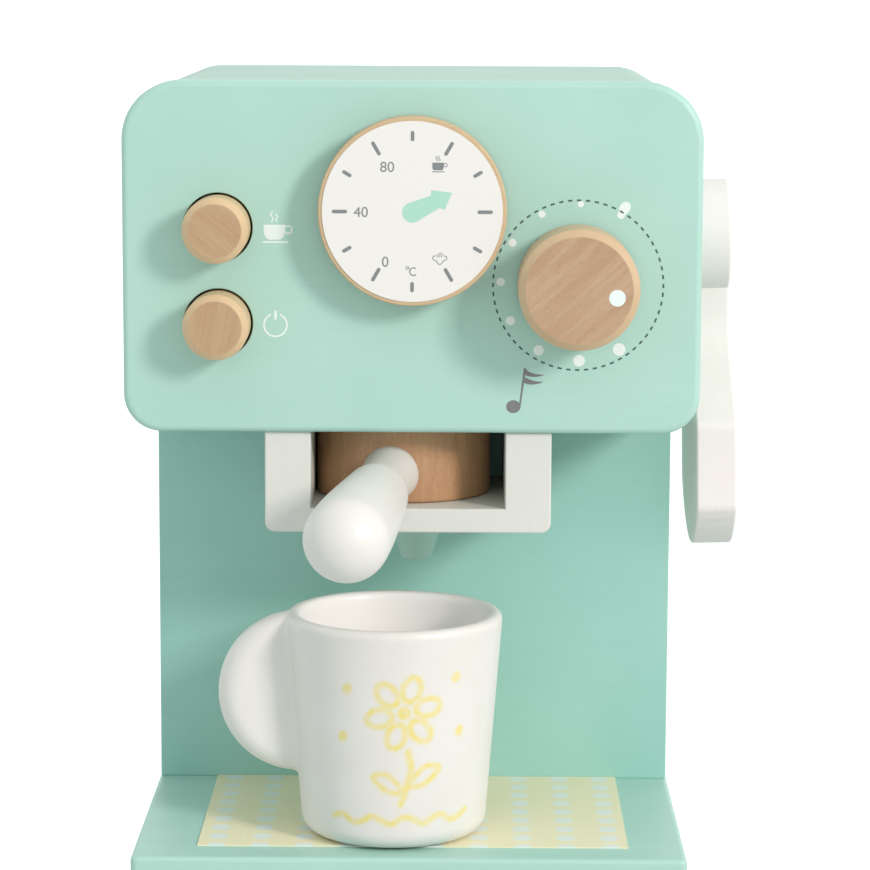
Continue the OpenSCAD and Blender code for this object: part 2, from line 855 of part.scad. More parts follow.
module mug_cup() color(white)
    translate([mug_x, mug_y, mug_z])
        rotate_extrude() {
            difference() {
                union() {
                    polygon([[0, 0], [mug_foot_r - mug_edge_r, 0], [mug_foot_r, mug_edge_r],
                             [mug_rim_r, mug_h - lip_r], [0, mug_h - lip_r]]);
                    translate([mug_foot_r - mug_edge_r, mug_edge_r]) circle(mug_edge_r);
                }
                polygon([[0, mug_floor_t], [mug_foot_r - mug_wall, mug_floor_t],
                         [mug_rim_r - mug_wall, mug_h - lip_r], [0, mug_h - lip_r]]);
            }
            translate([mug_rim_r - lip_r, mug_h - lip_r]) circle(lip_r);
        }

// A disc with a rounded edge, cut to the slope of the cup's wall
module mug_handle() color(white)
    translate([mug_x, mug_y, mug_z])
        difference() {
            rotate([0, 0, ear_turn])
                translate([-ear_out, 0, ear_up]) rotate([90, 0, 0])
                    rotate_extrude() {
                        translate([0, -ear_t / 2]) square([ear_r - ear_edge_r, ear_t]);
                        translate([0, -ear_t / 2 + ear_edge_r]) square([ear_r, ear_t - 2 * ear_edge_r]);
                        for (side = [-1, 1])
                            translate([ear_r - ear_edge_r, side * (ear_t / 2 - ear_edge_r)])
                                circle(ear_edge_r);
                    }
            cylinder(h = 2 * mug_h, r1 = mug_foot_r - mug_slope * mug_edge_r,
                     r2 = mug_foot_r + mug_slope * (2 * mug_h - mug_edge_r));
        }

// ---------- what is drawn ----------

base_plate();
drip_mat();
column_front();
left_side();
right_side();
back_board();
top_board();
head_floor();
front_panel();
filter_holder();
spout();
button_bridge();
bridge_blocks();
bridge_screws();
base_screws();
back_screws();
holder_screws();
panel_dowels();
brew_button();
brew_retainer();
brew_stem();
brew_spring();
power_button();
power_retainer();
power_stem();
power_spring();
dial_disc();
dial_face();
dial_axle();
dial_retainer();
sound_knob();
knob_shaft();
click_wheel();
knob_washer();
knob_screw();
click_reed();
reed_block();
reed_screws();
filter_disc();
filter_handle();
filter_dowel();
side_lever();
lever_bolt();
lever_spacer();
lever_washer();
lever_nut();
mug_cup();
mug_handle();
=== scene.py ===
"""Toy coffee maker: the dressed model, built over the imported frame.

Sizes in the classes are millimetres, in the frame's own axes: X to the right, Y to the back,
Z up, with the origin in the middle of the base plate's underside.
"""

import logging
import math
from contextlib import contextmanager
from dataclasses import dataclass, field
from enum import Enum
from typing import Iterable, Iterator, Mapping, Sequence

import bpy
from mathutils import Matrix, Vector


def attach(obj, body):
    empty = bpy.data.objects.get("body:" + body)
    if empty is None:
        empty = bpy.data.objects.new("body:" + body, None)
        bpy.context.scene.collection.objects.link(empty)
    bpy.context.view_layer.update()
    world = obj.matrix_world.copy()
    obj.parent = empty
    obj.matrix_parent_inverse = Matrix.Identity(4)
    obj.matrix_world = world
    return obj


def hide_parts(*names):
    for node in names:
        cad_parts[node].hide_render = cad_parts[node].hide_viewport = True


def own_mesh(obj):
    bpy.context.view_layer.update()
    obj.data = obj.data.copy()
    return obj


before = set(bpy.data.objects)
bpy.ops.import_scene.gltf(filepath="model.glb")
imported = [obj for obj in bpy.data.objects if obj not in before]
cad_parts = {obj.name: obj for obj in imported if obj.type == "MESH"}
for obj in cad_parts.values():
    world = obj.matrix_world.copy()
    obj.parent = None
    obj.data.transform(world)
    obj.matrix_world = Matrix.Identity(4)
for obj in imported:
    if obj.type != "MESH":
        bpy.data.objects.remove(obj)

MM = 0.001
METRE = 1000.0
# What keeps two surfaces that meet from lying in one plane, in millimetres.
GAP = 0.02
# Most of a noise pattern's values lie between these two.
GRAIN = (0.3, 0.7)
# A pattern's cell this long, in millimetres, leaves no change along its axis.
ENDLESS = 1e7
LOG = logging.getLogger("coffee_maker")
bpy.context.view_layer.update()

Flat = tuple[float, float]
Spot = tuple[float, float, float]
Thing = bpy.types.Object
Tree = bpy.types.NodeTree
Node = bpy.types.Node
Socket = bpy.types.NodeSocket


# ---------- small tools ----------


def metres(x: float, y: float, z: float) -> Vector:
    """Turn a place in millimetres into metres."""
    return Vector((x, y, z)) * MM


def hex_to_linear(code: str) -> tuple[float, float, float, float]:
    """Turn an sRGB hex colour into linear light.

    Args:
        code: A colour such as "#A8D6C1".

    Returns:
        Red, green, blue and an alpha of one.
    """
    shares = [int(code[i:i + 2], 16) / 255 for i in (1, 3, 5)]
    red, green, blue = [s / 12.92 if s <= 0.04045 else ((s + 0.055) / 1.055) ** 2.4 for s in shares]
    return red, green, blue, 1.0


def add_node(tree: Tree, kind: str, feeds: Mapping | None = None, **settings) -> Node:
    """Add a shader node, set it and link it.

    Args:
        tree: The node tree to add to.
        kind: Blender's name for the node.
        feeds: What goes into each input, by name or number: a socket or a plain value.
        **settings: The node's own settings.

    Returns:
        The new node.
    """
    node = tree.nodes.new(kind)
    for name, value in settings.items():
        setattr(node, name, value)
    for key, value in (feeds or {}).items():
        if isinstance(value, Socket):
            tree.links.new(value, node.inputs[key])
        else:
            node.inputs[key].default_value = value
    return node


def deselect_all() -> None:
    """Leave nothing selected and nothing active."""
    for thing in bpy.context.selected_objects:
        thing.select_set(False)
    bpy.context.view_layer.objects.active = None


def pick(*things: Thing) -> None:
    """Select these objects alone and make the first one active."""
    deselect_all()
    for thing in things:
        thing.select_set(True)
    bpy.context.view_layer.objects.active = things[0]


@contextmanager
def edit_mode(thing: Thing) -> Iterator[None]:
    """Open an object in edit mode with its whole mesh selected, and leave edit mode after."""
    pick(thing)
    bpy.ops.object.mode_set(mode="EDIT")
    bpy.ops.mesh.select_all(action="SELECT")
    yield
    bpy.ops.object.mode_set(mode="OBJECT")


def apply_modifier(thing: Thing, kind: str, **settings) -> None:
    """Add one modifier, set it and apply it."""
    pick(thing)
    modifier = thing.modifiers.new(kind.lower(), kind)
    for name, value in settings.items():
        setattr(modifier, name, value)
    bpy.ops.object.modifier_apply(modifier=modifier.name)


def settle(thing: Thing) -> None:
    """Move an object's place, turn and scale into its mesh."""
    pick(thing)
    bpy.ops.object.transform_apply(location=True, rotation=True, scale=True)


def join_up(name: str, things: Sequence[Thing]) -> Thing:
    """Join objects into one piece.

    Args:
        name: The piece's name.
        things: The objects, which end as one.

    Returns:
        The joined object.
    """
    pick(*things)
    if len(things) > 1:
        bpy.ops.object.join()
    piece = bpy.context.view_layer.objects.active
    piece.name = name
    piece.data.name = name
    return piece


def smooth_shade(thing: Thing, angle: float = 35, weighted: bool = True) -> None:
    """Shade an object smoothly up to an angle in degrees, with flat faces kept flat."""
    pick(thing)
    bpy.ops.object.shade_smooth_by_angle(angle=math.radians(angle))
    if weighted:
        apply_modifier(thing, "WEIGHTED_NORMAL", keep_sharp=True, weight=80)


def combine(thing: Thing, other: Thing, operation: str) -> None:
    """Join another object to this one or cut it out, and throw the other away."""
    apply_modifier(thing, "BOOLEAN", operation=operation, solver="EXACT", object=other)
    bpy.data.objects.remove(other)


def node_copy(node: str, name: str) -> Thing:
    """Copy one of the frame's nodes.

    Args:
        node: The node's name.
        name: The copy's name.

    Returns:
        The copy, with a mesh of its own.
    """
    piece = bpy.data.objects.new(name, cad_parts[node].data.copy())
    bpy.context.scene.collection.objects.link(piece)
    piece.data.name = name
    return piece


def merge_loose() -> None:
    """Merge the corners of the open mesh that lie in one place, and drop its stored normals."""
    bpy.ops.mesh.remove_doubles(threshold=0.001 * MM)
    bpy.ops.mesh.customdata_custom_splitnormals_clear()


def hand_over(piece: Thing, body: str, material: bpy.types.Material,
              nodes: Sequence[str] = ()) -> Thing:
    """Dress a finished piece and give it to a body of the frame.

    Args:
        piece: The piece, in its place.
        body: The body that it moves with.
        material: Its material.
        nodes: The frame's nodes that it stands for.

    Returns:
        The piece.
    """
    piece.data.materials.clear()
    piece.data.materials.append(material)
    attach(piece, body)
    if nodes:
        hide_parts(*nodes)
    LOG.info("%s: %d faces, on %s", piece.name, len(piece.data.polygons), body)
    return piece


# ---------- finishes ----------


@dataclass(frozen=True)
class Finish:
    """A finish, named for the real material."""

    name: str

    def material(self) -> bpy.types.Material:
        """Return the finish's material, made the first time that it is asked for."""
        found = bpy.data.materials.get(self.name)
        if found:
            return found
        made = bpy.data.materials.new(self.name)
        made.use_nodes = True
        made.node_tree.nodes.clear()
        shader = add_node(made.node_tree, "ShaderNodeBsdfPrincipled")
        add_node(made.node_tree, "ShaderNodeOutputMaterial", {"Surface": shader.outputs[0]})
        self.wire(made.node_tree, shader)
        return made

    def wire(self, tree: Tree, shader: Node) -> None:
        """Add what this finish shows to a tree that holds its shader."""
        raise NotImplementedError

    @staticmethod
    def place(tree: Tree, centre: Spot = (0, 0, 0), turn: Spot = (0, 0, 0),
              cell: Spot = (METRE, METRE, METRE)) -> Socket:
        """Give object coordinates from a centre, turned, and counted in cells.

        Args:
            tree: The node tree.
            centre: Where the pattern's middle is, in millimetres.
            turn: How the pattern is turned, in degrees.
            cell: The size of one cell along the pattern's own axes, in millimetres.

        Returns:
            The coordinates.
        """
        coords = add_node(tree, "ShaderNodeTexCoord").outputs["Object"]
        return add_node(tree, "ShaderNodeMapping",
                        {"Vector": coords, "Location": metres(*centre),
                         "Rotation": [math.radians(t) for t in turn],
                         "Scale": metres(*cell)}, vector_type="TEXTURE").outputs[0]

    @classmethod
    def noise(cls, tree: Tree, cell: Spot, detail: float = 2, rough: float = 0.5, bend: float = 0,
              centre: Spot = (0, 0, 0), turn: Spot = (0, 0, 0)) -> Socket:
        """Give noise whose grains are one cell wide, placed and turned as place() says."""
        return add_node(tree, "ShaderNodeTexNoise",
                        {"Vector": cls.place(tree, centre, turn, cell), "Scale": 1, "Detail": detail,
                         "Roughness": rough, "Distortion": bend}).outputs[0]

    @staticmethod
    def tint(tree: Tree, pattern: Socket, source: Flat, shares: Flat, *colours: object) -> Socket:
        """Mix two colours by a pattern.

        Args:
            tree: The node tree.
            pattern: What decides between the colours.
            source: The pattern's two values between which the mix changes.
            shares: How much of the second colour shows at those two values.
            *colours: The two colours, each as hex or a socket.

        Returns:
            The mixed colour.
        """
        share = add_node(tree, "ShaderNodeMapRange", dict(enumerate((pattern, *source, *shares)))).outputs[0]
        low, high = (hex_to_linear(c) if isinstance(c, str) else c for c in colours)
        return add_node(tree, "ShaderNodeMix", {0: share, 6: low, 7: high}, data_type="RGBA").outputs[2]

    @staticmethod
    def coat(tree: Tree, shader: Node, tone: Socket, grain: Socket, roughness: Flat) -> None:
        """Give the shader its colour, and a roughness that a grain moves between two values."""
        tree.links.new(tone, shader.inputs["Base Color"])
        moved = add_node(tree, "ShaderNodeMapRange", dict(enumerate((grain, *GRAIN, *roughness))))
        tree.links.new(moved.outputs[0], shader.inputs["Roughness"])

    @staticmethod
    def relief(tree: Tree, shader: Node, *layers: tuple[Socket, float]) -> None:
        """Bump the surface by heights from nought to one, each with its depth, the coarsest first."""
        for height, depth_mm in layers:
            below = [link.from_socket for link in shader.inputs["Normal"].links]
            feeds = {"Height": height, "Distance": depth_mm * MM, "Strength": 1.0}
            feeds.update({"Normal": socket for socket in below})
            tree.links.new(add_node(tree, "ShaderNodeBump", feeds).outputs[0], shader.inputs["Normal"])


class Lay(Enum):
    """Which way the faint streaks of a sprayed and sanded coat run, as the size of one, in millimetres."""

    ACROSS = (45.0, 12.0, 0.9)
    UPRIGHT = (0.9, 12.0, 45.0)


@dataclass(frozen=True)
class SatinLacquer(Finish):
    """Sprayed satin lacquer on board: an even coat with a fine peel and a soft, broad shine."""

    colour: str
    shade: str
    roughness: float = 0.42
    streaks: Lay = Lay.ACROSS
    streak_depth: float = 0.012
    ior: float = 1.5

    def wire(self, tree: Tree, shader: Node) -> None:
        """Add broad clouds of tone, faint streaks from sanding and a fine spray peel."""
        clouds = self.noise(tree, (38, 38, 38))
        streaks = self.noise(tree, self.streaks.value, detail=3)
        # The peel is drawn coarser than a brushed film's own, so that it shows at this size.
        peel = self.noise(tree, (0.9, 0.9, 0.9), detail=1)
        tone = self.tint(tree, clouds, GRAIN, (0.0, 0.7), self.colour, self.shade)
        tone = self.tint(tree, streaks, (0.48, 0.75), (0.0, 0.35), tone, self.shade)
        self.coat(tree, shader, tone, streaks, (self.roughness - 0.03, self.roughness + 0.05))
        shader.inputs["IOR"].default_value = self.ior
        self.relief(tree, shader, (streaks, self.streak_depth), (peel, 0.006))


@dataclass(frozen=True)
class Beech(Finish):
    """Sanded, clear sealed beech: warm tan, soft growth bands, short faint flecks, and a paler turned rim
    that is partly end grain and partly painted highlight.
    """

    light: str
    dark: str
    fleck: str
    centre: Spot
    turn: Spot = (0, 0, 0)
    band_mm: float = 4.2
    roughness: float = 0.5
    band_share: float = 0.6
    fleck_share: float = 0.16
    fleck_edge: Flat = (0.16, 0.34)
    rim: str | None = None
    rim_from: float = 0.0
    rim_soft: float = 0.2

    def wire(self, tree: Tree, shader: Node) -> None:
        """Add growth bands, fine fibres and ray flecks, all along the pattern's X."""
        band = self.noise(tree, (self.band_mm * 11, self.band_mm, self.band_mm), detail=3, bend=0.4,
                          centre=self.centre, turn=self.turn)
        # Beech pores are too fine to see at this size, so they are drawn as bundles of fibre.
        fibre = self.noise(tree, (9, 0.34, 0.34), detail=3, rough=0.6, centre=self.centre, turn=self.turn)
        cells = add_node(tree, "ShaderNodeTexVoronoi",
                         {"Vector": self.place(tree, self.centre, self.turn, (2.9, 0.8, 0.8)), "Scale": 1,
                          "Randomness": 1}, feature="F1")
        away = cells.outputs["Distance"]
        tone = self.tint(tree, band, (0.36, 0.64), (0.0, self.band_share), self.light, self.dark)
        tone = self.tint(tree, fibre, (0.42, 0.72), (0.0, 0.5), tone, self.dark)
        tone = self.tint(tree, away, self.fleck_edge, (self.fleck_share, 0.0), tone, self.fleck)
        # The paler rim on the chamfer is partly its own end grain and partly a painted highlight.
        if self.rim:
            flat = self.place(tree, self.centre, cell=(METRE, ENDLESS, METRE))
            off = add_node(tree, "ShaderNodeVectorMath", {0: flat}, operation="LENGTH").outputs["Value"]
            border = [(self.rim_from + side * self.rim_soft) * MM for side in (-1, 1)]
            tone = self.tint(tree, off, border, (0.0, 0.7), tone, self.rim)
        self.coat(tree, shader, tone, fibre, (self.roughness - 0.06, self.roughness + 0.08))
        pit = add_node(tree, "ShaderNodeMapRange", dict(enumerate((away, *self.fleck_edge, 1.0, 0.0))))
        self.relief(tree, shader, (fibre, 0.03), (pit.outputs[0], -0.02))


@dataclass(frozen=True)
class PrintInk(Finish):
    """Pad-printed ink: a thin matt film whose cover is a little uneven."""

    colour: str
    thin: str
    roughness: float = 0.5

    def wire(self, tree: Tree, shader: Node) -> None:
        """Add the film's uneven cover and its slight tooth."""
        cover = self.noise(tree, (0.7, 0.7, 0.7), detail=3)
        tone = self.tint(tree, cover, (0.45, 0.8), (0.0, 0.6), self.colour, self.thin)
        self.coat(tree, shader, tone, cover, (self.roughness, self.roughness + 0.1))
        self.relief(tree, shader, (cover, 0.004))


@dataclass(frozen=True)
class PaintedWare(Finish):
    """Thick satin white on turned wood, whiter inside as painted light, with soft yellow strokes under the
    last coat.
    """

    white: str
    shade: str
    inside: str
    ink: str
    roughness: float = 0.4

    def wire(self, tree: Tree, shader: Node) -> None:
        """Mix white and the strokes by the mesh's own ink layer, thinner where the brush ran dry, and whiten
        the inside as painted light.
        """
        clouds = self.noise(tree, (22, 22, 22))
        peel = self.noise(tree, (1.4, 1.4, 1.4))
        dry = self.noise(tree, (2.6, 2.6, 2.6), detail=3)
        layer = add_node(tree, "ShaderNodeAttribute", attribute_name="ink").outputs["Fac"]
        wet = add_node(tree, "ShaderNodeMapRange", dict(enumerate((dry, *GRAIN, 0.95, 0.5))))
        cover = add_node(tree, "ShaderNodeMath", {0: layer, 1: wet.outputs[0]}, operation="MULTIPLY")
        white = self.tint(tree, clouds, GRAIN, (0.0, 1.0), self.white, self.shade)
        # Painted light: a layer that whitens the cup's inside, where more light falls.
        inside_light = add_node(tree, "ShaderNodeAttribute", attribute_name="inside_light").outputs["Fac"]
        white = self.tint(tree, inside_light, (0.0, 1.0), (0.0, 1.0), white, self.inside)
        tone = self.tint(tree, cover.outputs[0], (0.0, 1.0), (0.0, 1.0), white, self.ink)
        self.coat(tree, shader, tone, peel, (self.roughness - 0.04, self.roughness + 0.06))
        self.relief(tree, shader, (peel, 0.008))


@dataclass(frozen=True)
class FibreBoard(Finish):
    """Bare medium density fibre board: dull brown with fine pale fibres."""

    colour: str
    fibre: str

    def wire(self, tree: Tree, shader: Node) -> None:
        """Add fine fibre specks and a slightly furry surface."""
        specks = self.noise(tree, (0.5, 0.9, 0.5), detail=4, rough=0.7)
        tone = self.tint(tree, specks, (0.42, 0.7), (0.0, 0.8), self.colour, self.fibre)
        self.coat(tree, shader, tone, specks, (0.75, 0.9))
        self.relief(tree, shader, (specks, 0.03))


@dataclass(frozen=True)
class PrintedSheet(Finish):
    """Printed matt film: pale straw yellow with rows of soft pale blue spots."""

    ground: str
    ground_shade: str
    spot: str
    first_spot: Flat
    pitch: Flat
    spot_size: Flat
    squareness: float = 2.6
    spot_share: float = 0.78

    def wire(self, tree: Tree, shader: Node) -> None:
        """Repeat one soft spot over the sheet and lay a fine paper tooth over all."""
        where = self.place(tree, (self.first_spot[0], self.first_spot[1], 0),
                           cell=(self.pitch[0], self.pitch[1], METRE))
        parts = add_node(tree, "ShaderNodeSeparateXYZ", {0: where})
        squares = []
        # Along each axis: how far off the nearest spot's middle, in half spots, raised to a power.
        for axis in (0, 1):
            value = parts.outputs[axis]
            for operation, numbers in (("WRAP", (0.5, -0.5)),
                                       ("MULTIPLY", (2 * self.pitch[axis] / self.spot_size[axis],)),
                                       ("ABSOLUTE", ()), ("POWER", (self.squareness,))):
                feeds = dict(enumerate((value, *numbers)))
                value = add_node(tree, "ShaderNodeMath", feeds, operation=operation).outputs[0]
            squares.append(value)
        off = add_node(tree, "ShaderNodeMath", dict(enumerate(squares)), operation="ADD").outputs[0]
        # The film's tooth is drawn coarser than it is, so that it shows.
        tooth = self.noise(tree, (0.6, 0.6, 0.6), detail=3)
        ground = self.tint(tree, tooth, (0.35, 0.7), (0.0, 1.0), self.ground, self.ground_shade)
        tone = self.tint(tree, off, (0.45, 1.4), (self.spot_share, 0.0), ground, self.spot)
        tree.links.new(tone, shader.inputs["Base Color"])
        shader.inputs["Roughness"].default_value = 0.6
        self.relief(tree, shader, (tooth, 0.004))


@dataclass(frozen=True)
class PlatedSteel(Finish):
    """Zinc or nickel plated steel: bright, with fine marks left by drawing and turning."""

    colour: str
    shade: str
    roughness: float = 0.3

    def wire(self, tree: Tree, shader: Node) -> None:
        """Add fine scratches that dull the plating in streaks."""
        marks = self.noise(tree, (0.25, 3.0, 0.25), detail=3)
        tone = self.tint(tree, marks, (0.4, 0.7), (0.0, 0.7), self.colour, self.shade)
        self.coat(tree, shader, tone, marks, (self.roughness - 0.08, self.roughness + 0.12))
        shader.inputs["Metallic"].default_value = 1.0
        self.relief(tree, shader, (marks, 0.004))


# Satin lacquer on fibre board: an even pale mint with one broad, dim highlight. The top is rubbed
# down duller and painted paler, as a painted reflection; the column's board lets a little of its grain
# through.
MINT = SatinLacquer("satin_mint_lacquer", "#ADD5C9", "#A6CFC3")
MINT_TOP_PAINTED_SHEEN = SatinLacquer("satin_mint_lacquer_top_painted_sheen", "#BFD9CE", "#B9D3C8", roughness=0.66, ior=1.25)
# The column's deeper, greener mint is painted shade, for its place under the head's overhang.
MINT_COLUMN_PAINTED_SHADE = SatinLacquer("satin_mint_lacquer_grained_painted_shade", "#A0D0C6", "#95C9BD", streak_depth=0.03)
# The same lacquer in white on solid wood: soft grey-white, with the upright grain just to be felt.
WHITE = SatinLacquer("satin_white_lacquer", "#E2E1DC", "#DDDCD6", roughness=0.4)
# The holder's greyer white is painted shade, for the shadow that falls on it under the panel.
HOLDER_WHITE_PAINTED_SHADE = SatinLacquer("satin_white_lacquer_holder_painted_shade", "#DADCD5", "#D3D5CE", roughness=0.45,
                            streaks=Lay.UPRIGHT, streak_depth=0.03)
LEVER_WHITE = SatinLacquer("satin_white_lacquer_lever", "#ECE8E4", "#E6E1DB", roughness=0.42,
                           streaks=Lay.UPRIGHT, streak_depth=0.03)
# Screen and pad printing: thin, matt and flat, with crisp borders.
DIAL_WHITE = PrintInk("white_screen_print", "#E6E5E0", "#E3E2DC")
WHITE_INK = PrintInk("white_pad_print", "#E4F0EC", "#DCEBE6")
GREY_INK = PrintInk("grey_pad_print", "#757678", "#7F8182")
DIAL_INK = PrintInk("pale_grey_pad_print", "#7C8282", "#888E90")
RING_INK = PrintInk("dark_green_pad_print", "#3E5755", "#4A6562")
MINT_INK = PrintInk("mint_pad_print", "#A6D6C4", "#ABD8C8")
# Inside, left bare: dull brown board and sanded pale birch.
FIBRE = FibreBoard("bare_fibre_board", "#B08A63", "#C6A27C")
BIRCH = Beech("sanded_birch", "#DDBB90", "#C79F70", "#B98E60", (0, 0, 0), (0, 0, 90), fleck_share=0.25)
# Screws, springs and washers: bright metal, yellower where it is zinc plated.
ZINC = PlatedSteel("zinc_plated_steel", "#C9C6BC", "#AFAEA8", roughness=0.34)
SPRING_WIRE = PlatedSteel("drawn_spring_steel", "#B9BBBD", "#9B9EA1", roughness=0.28)
NICKEL = PlatedSteel("nickel_plated_steel", "#CFCDC8", "#B7B5B0", roughness=0.24)
# A matt printed film, and thick white paint on turned wood that rounds every edge.
MAT = PrintedSheet("printed_film", "#EDE9C8", "#E9E3BC", "#DFECEC", (-56.4, -14.8), (12.8, 9.6), (5.4, 6.2))
# The ware's fourth colour, its whiter inside, is painted light.
WARE = PaintedWare("satin_white_ware", "#E5E4DF", "#E0DED8", "#F6F5F1", "#E9D977")


# ---------- ways of making a piece ----------


def turned(arm: Vector, angle: float) -> Vector:
    """Turn a flat vector anticlockwise by an angle in radians."""
    cos, sin = math.cos(angle), math.sin(angle)
    return Vector((arm.x * cos - arm.y * sin, arm.x * sin + arm.y * cos))


def rounded(points: Sequence[tuple[float, float, float]], steps: int = 6) -> list[Flat]:
    """Round the corners of an open profile.

    Args:
        points: Across, up and the corner's radius, for each corner in order.
        steps: How many parts each rounded corner has.

    Returns:
        The profile with its corners turned into arcs.
    """
    out: list[Flat] = [(points[0][0], points[0][1])]
    for before, here, after in zip(points, points[1:], points[2:]):
        corner = Vector(here[:2])
        if here[2] <= 0:
            out.append((corner.x, corner.y))
            continue
        way_in = (Vector(before[:2]) - corner).normalized()
        way_out = (Vector(after[:2]) - corner).normalized()
        half = way_in.angle(way_out) / 2
        middle = corner + (way_in + way_out).normalized() * here[2] / math.sin(half)
        start = corner + way_in * here[2] / math.tan(half) - middle
        end = corner + way_out * here[2] / math.tan(half) - middle
        sweep = math.atan2(start.x * end.y - start.y * end.x, start.dot(end))
        for i in range(steps + 1):
            arm = turned(start, sweep * i / steps)
            out.append((middle.x + arm.x, middle.y + arm.y))
    out.append((points[-1][0], points[-1][1]))
    return out


@dataclass(frozen=True)
class Turning:
    """A piece turned on a lathe: a profile that is spun round an axis."""

    name: str
    centre: Spot
    axis: Spot
    profile: Sequence[Flat]
    steps: int = 96

    def build(self) -> Thing:
        """Draw the profile point by point, spin it and close it.

        Returns:
            The turned object, in its place.
        """
        axis = Vector(self.axis).normalized()
        side = axis.orthogonal().normalized()
        middle = metres(*self.centre)
        path = [middle + (side * r + axis * h) * MM for r, h in self.profile]
        deselect_all()
        bpy.ops.mesh.primitive_plane_add(size=MM, location=path[0])
        piece = bpy.context.object
        settle(piece)
        with edit_mode(piece):
            bpy.ops.mesh.merge(type="CENTER")
            for here, there in zip(path, path[1:]):
                bpy.ops.mesh.extrude_vertices_move(TRANSFORM_OT_translate={"value": there - here})
            bpy.ops.mesh.select_all(action="SELECT")
            bpy.ops.mesh.spin(steps=self.steps, angle=2 * math.pi, center=middle, axis=axis)
            bpy.ops.mesh.select_all(action="SELECT")
            bpy.ops.mesh.remove_doubles(threshold=0.002 * MM)
            bpy.ops.mesh.normals_make_consistent(inside=False)
        piece.name = self.name
        piece.data.name = self.name
        return piece

    def dress(self, angle: float, body: str, finish: Finish, node: str) -> Thing:
        """Build the piece, shade it smoothly up to an angle, and hand it over in a node's place."""
        piece = self.build()
        smooth_shade(piece, angle)
        return hand_over(piece, body, finish.material(), [node])


@dataclass(frozen=True)
class Board:
    """A cut and painted board: a node's own outline with its sharp edges eased."""

    node: str
    finish: Finish
    ease: float
    hole_ease: float = 0.0
    body: str = "case"
    slot: str = "painted_board"
    hole_span: float = 24.0
    sharp_from: float = 25.0

    def build(self) -> Thing:
        """Copy the node, merge its loose faces, ease its edges and dress it.

        Returns:
            The board.
        """
        piece = node_copy(self.node, self.node + "_board")
        with edit_mode(piece):
            merge_loose()
            bpy.ops.mesh.dissolve_limited(angle_limit=math.radians(0.6))
            bpy.ops.mesh.quads_convert_to_tris(ngon_method="BEAUTY")
        self.mark_sharp(piece)
        apply_modifier(piece, "BEVEL", width=self.ease * MM, segments=4, limit_method="WEIGHT",
                       use_clamp_overlap=False, loop_slide=False, miter_outer="MITER_ARC")
        smooth_shade(piece)
        return hand_over(piece, self.body, self.finish.material(), [self.node])

    def mark_sharp(self, piece: Thing) -> None:
        """Give each outer edge its share of the easing, as a bevel weight, and less round a hole."""
        mesh = piece.data
        faces: dict[tuple[int, int], list[bpy.types.MeshPolygon]] = {}
        for polygon in mesh.polygons:
            for key in polygon.edge_keys:
                faces.setdefault(key, []).append(polygon)
        sharp = [edge for edge in mesh.edges if self.is_outer(faces.get(edge.key, []))]
        weights = mesh.attributes.new("bevel_weight_edge", "FLOAT", "EDGE")
        for run in self.runs(sharp):
            points = [mesh.vertices[i].co / MM for edge in run for i in edge.vertices]
            span = max(max(p[axis] for p in points) - min(p[axis] for p in points) for axis in range(3))
            for edge in run:
                weights.data[edge.index].value = 1.0 if span > self.hole_span else self.hole_ease / self.ease

    def is_outer(self, pair: Sequence[bpy.types.MeshPolygon]) -> bool:
        """Tell whether the two faces of an edge make a sharp corner that stands out."""
        if len(pair) != 2 or pair[0].normal.angle(pair[1].normal, 0.0) < math.radians(self.sharp_from):
            return False
        return (pair[1].center - pair[0].center).dot(pair[0].normal) < 0

    @staticmethod
    def runs(edges: Iterable[bpy.types.MeshEdge]) -> list[list[bpy.types.MeshEdge]]:
        """Sort edges into runs that hang together.

        Args:
            edges: The edges.

        Returns:
            The runs.
        """
        at: dict[int, list[bpy.types.MeshEdge]] = {}
        for edge in edges:
            for corner in edge.vertices:
                at.setdefault(corner, []).append(edge)
        seen: set[int] = set()
        found = []
        for start in at:
            if start in seen:
                continue
            run, waiting = {}, [start]
            seen.add(start)
            while waiting:
                for edge in at[waiting.pop()]:
                    run[edge.index] = edge
                    fresh = [corner for corner in edge.vertices if corner not in seen]
                    seen.update(fresh)
                    waiting.extend(fresh)
            found.append(list(run.values()))
        return found


def stroke_outline(points: Sequence[Flat], width: float, cap: int = 6) -> list[Flat]:
    """Give the outline of a pen stroke with round ends.

    Args:
        points: The stroke's middle line.
        width: The pen's width.
        cap: How many parts each round end has.

    Returns:
        The closed outline.
    """
    line = [Vector(p) for p in points]
    normals = []
    for i, here in enumerate(line):
        ahead = (line[min(i + 1, len(line) - 1)] - line[max(i - 1, 0)]).normalized()
        normals.append(Vector((-ahead.y, ahead.x)) * width / 2)
    left = [p + n for p, n in zip(line, normals)]
    right = [p - n for p, n in zip(line, normals)]
    out = list(left)
    out += [line[-1] + turned(normals[-1], -math.pi * i / cap) for i in range(1, cap)]
    out += reversed(right)
    out += [line[0] + turned(-normals[0], -math.pi * i / cap) for i in range(1, cap)]
    return [(p.x, p.y) for p in out]


def circle_outline(centre: Flat, radius: float, steps: int = 32) -> list[Flat]:
    """Give a circle as a closed outline."""
    return [(centre[0] + radius * math.cos(2 * math.pi * i / steps),
             centre[1] + radius * math.sin(2 * math.pi * i / steps)) for i in range(steps)]


def shift(points: Iterable[Flat], by: Flat) -> list[Flat]:
    """Move an outline."""
    return [(x + by[0], y + by[1]) for x, y in points]


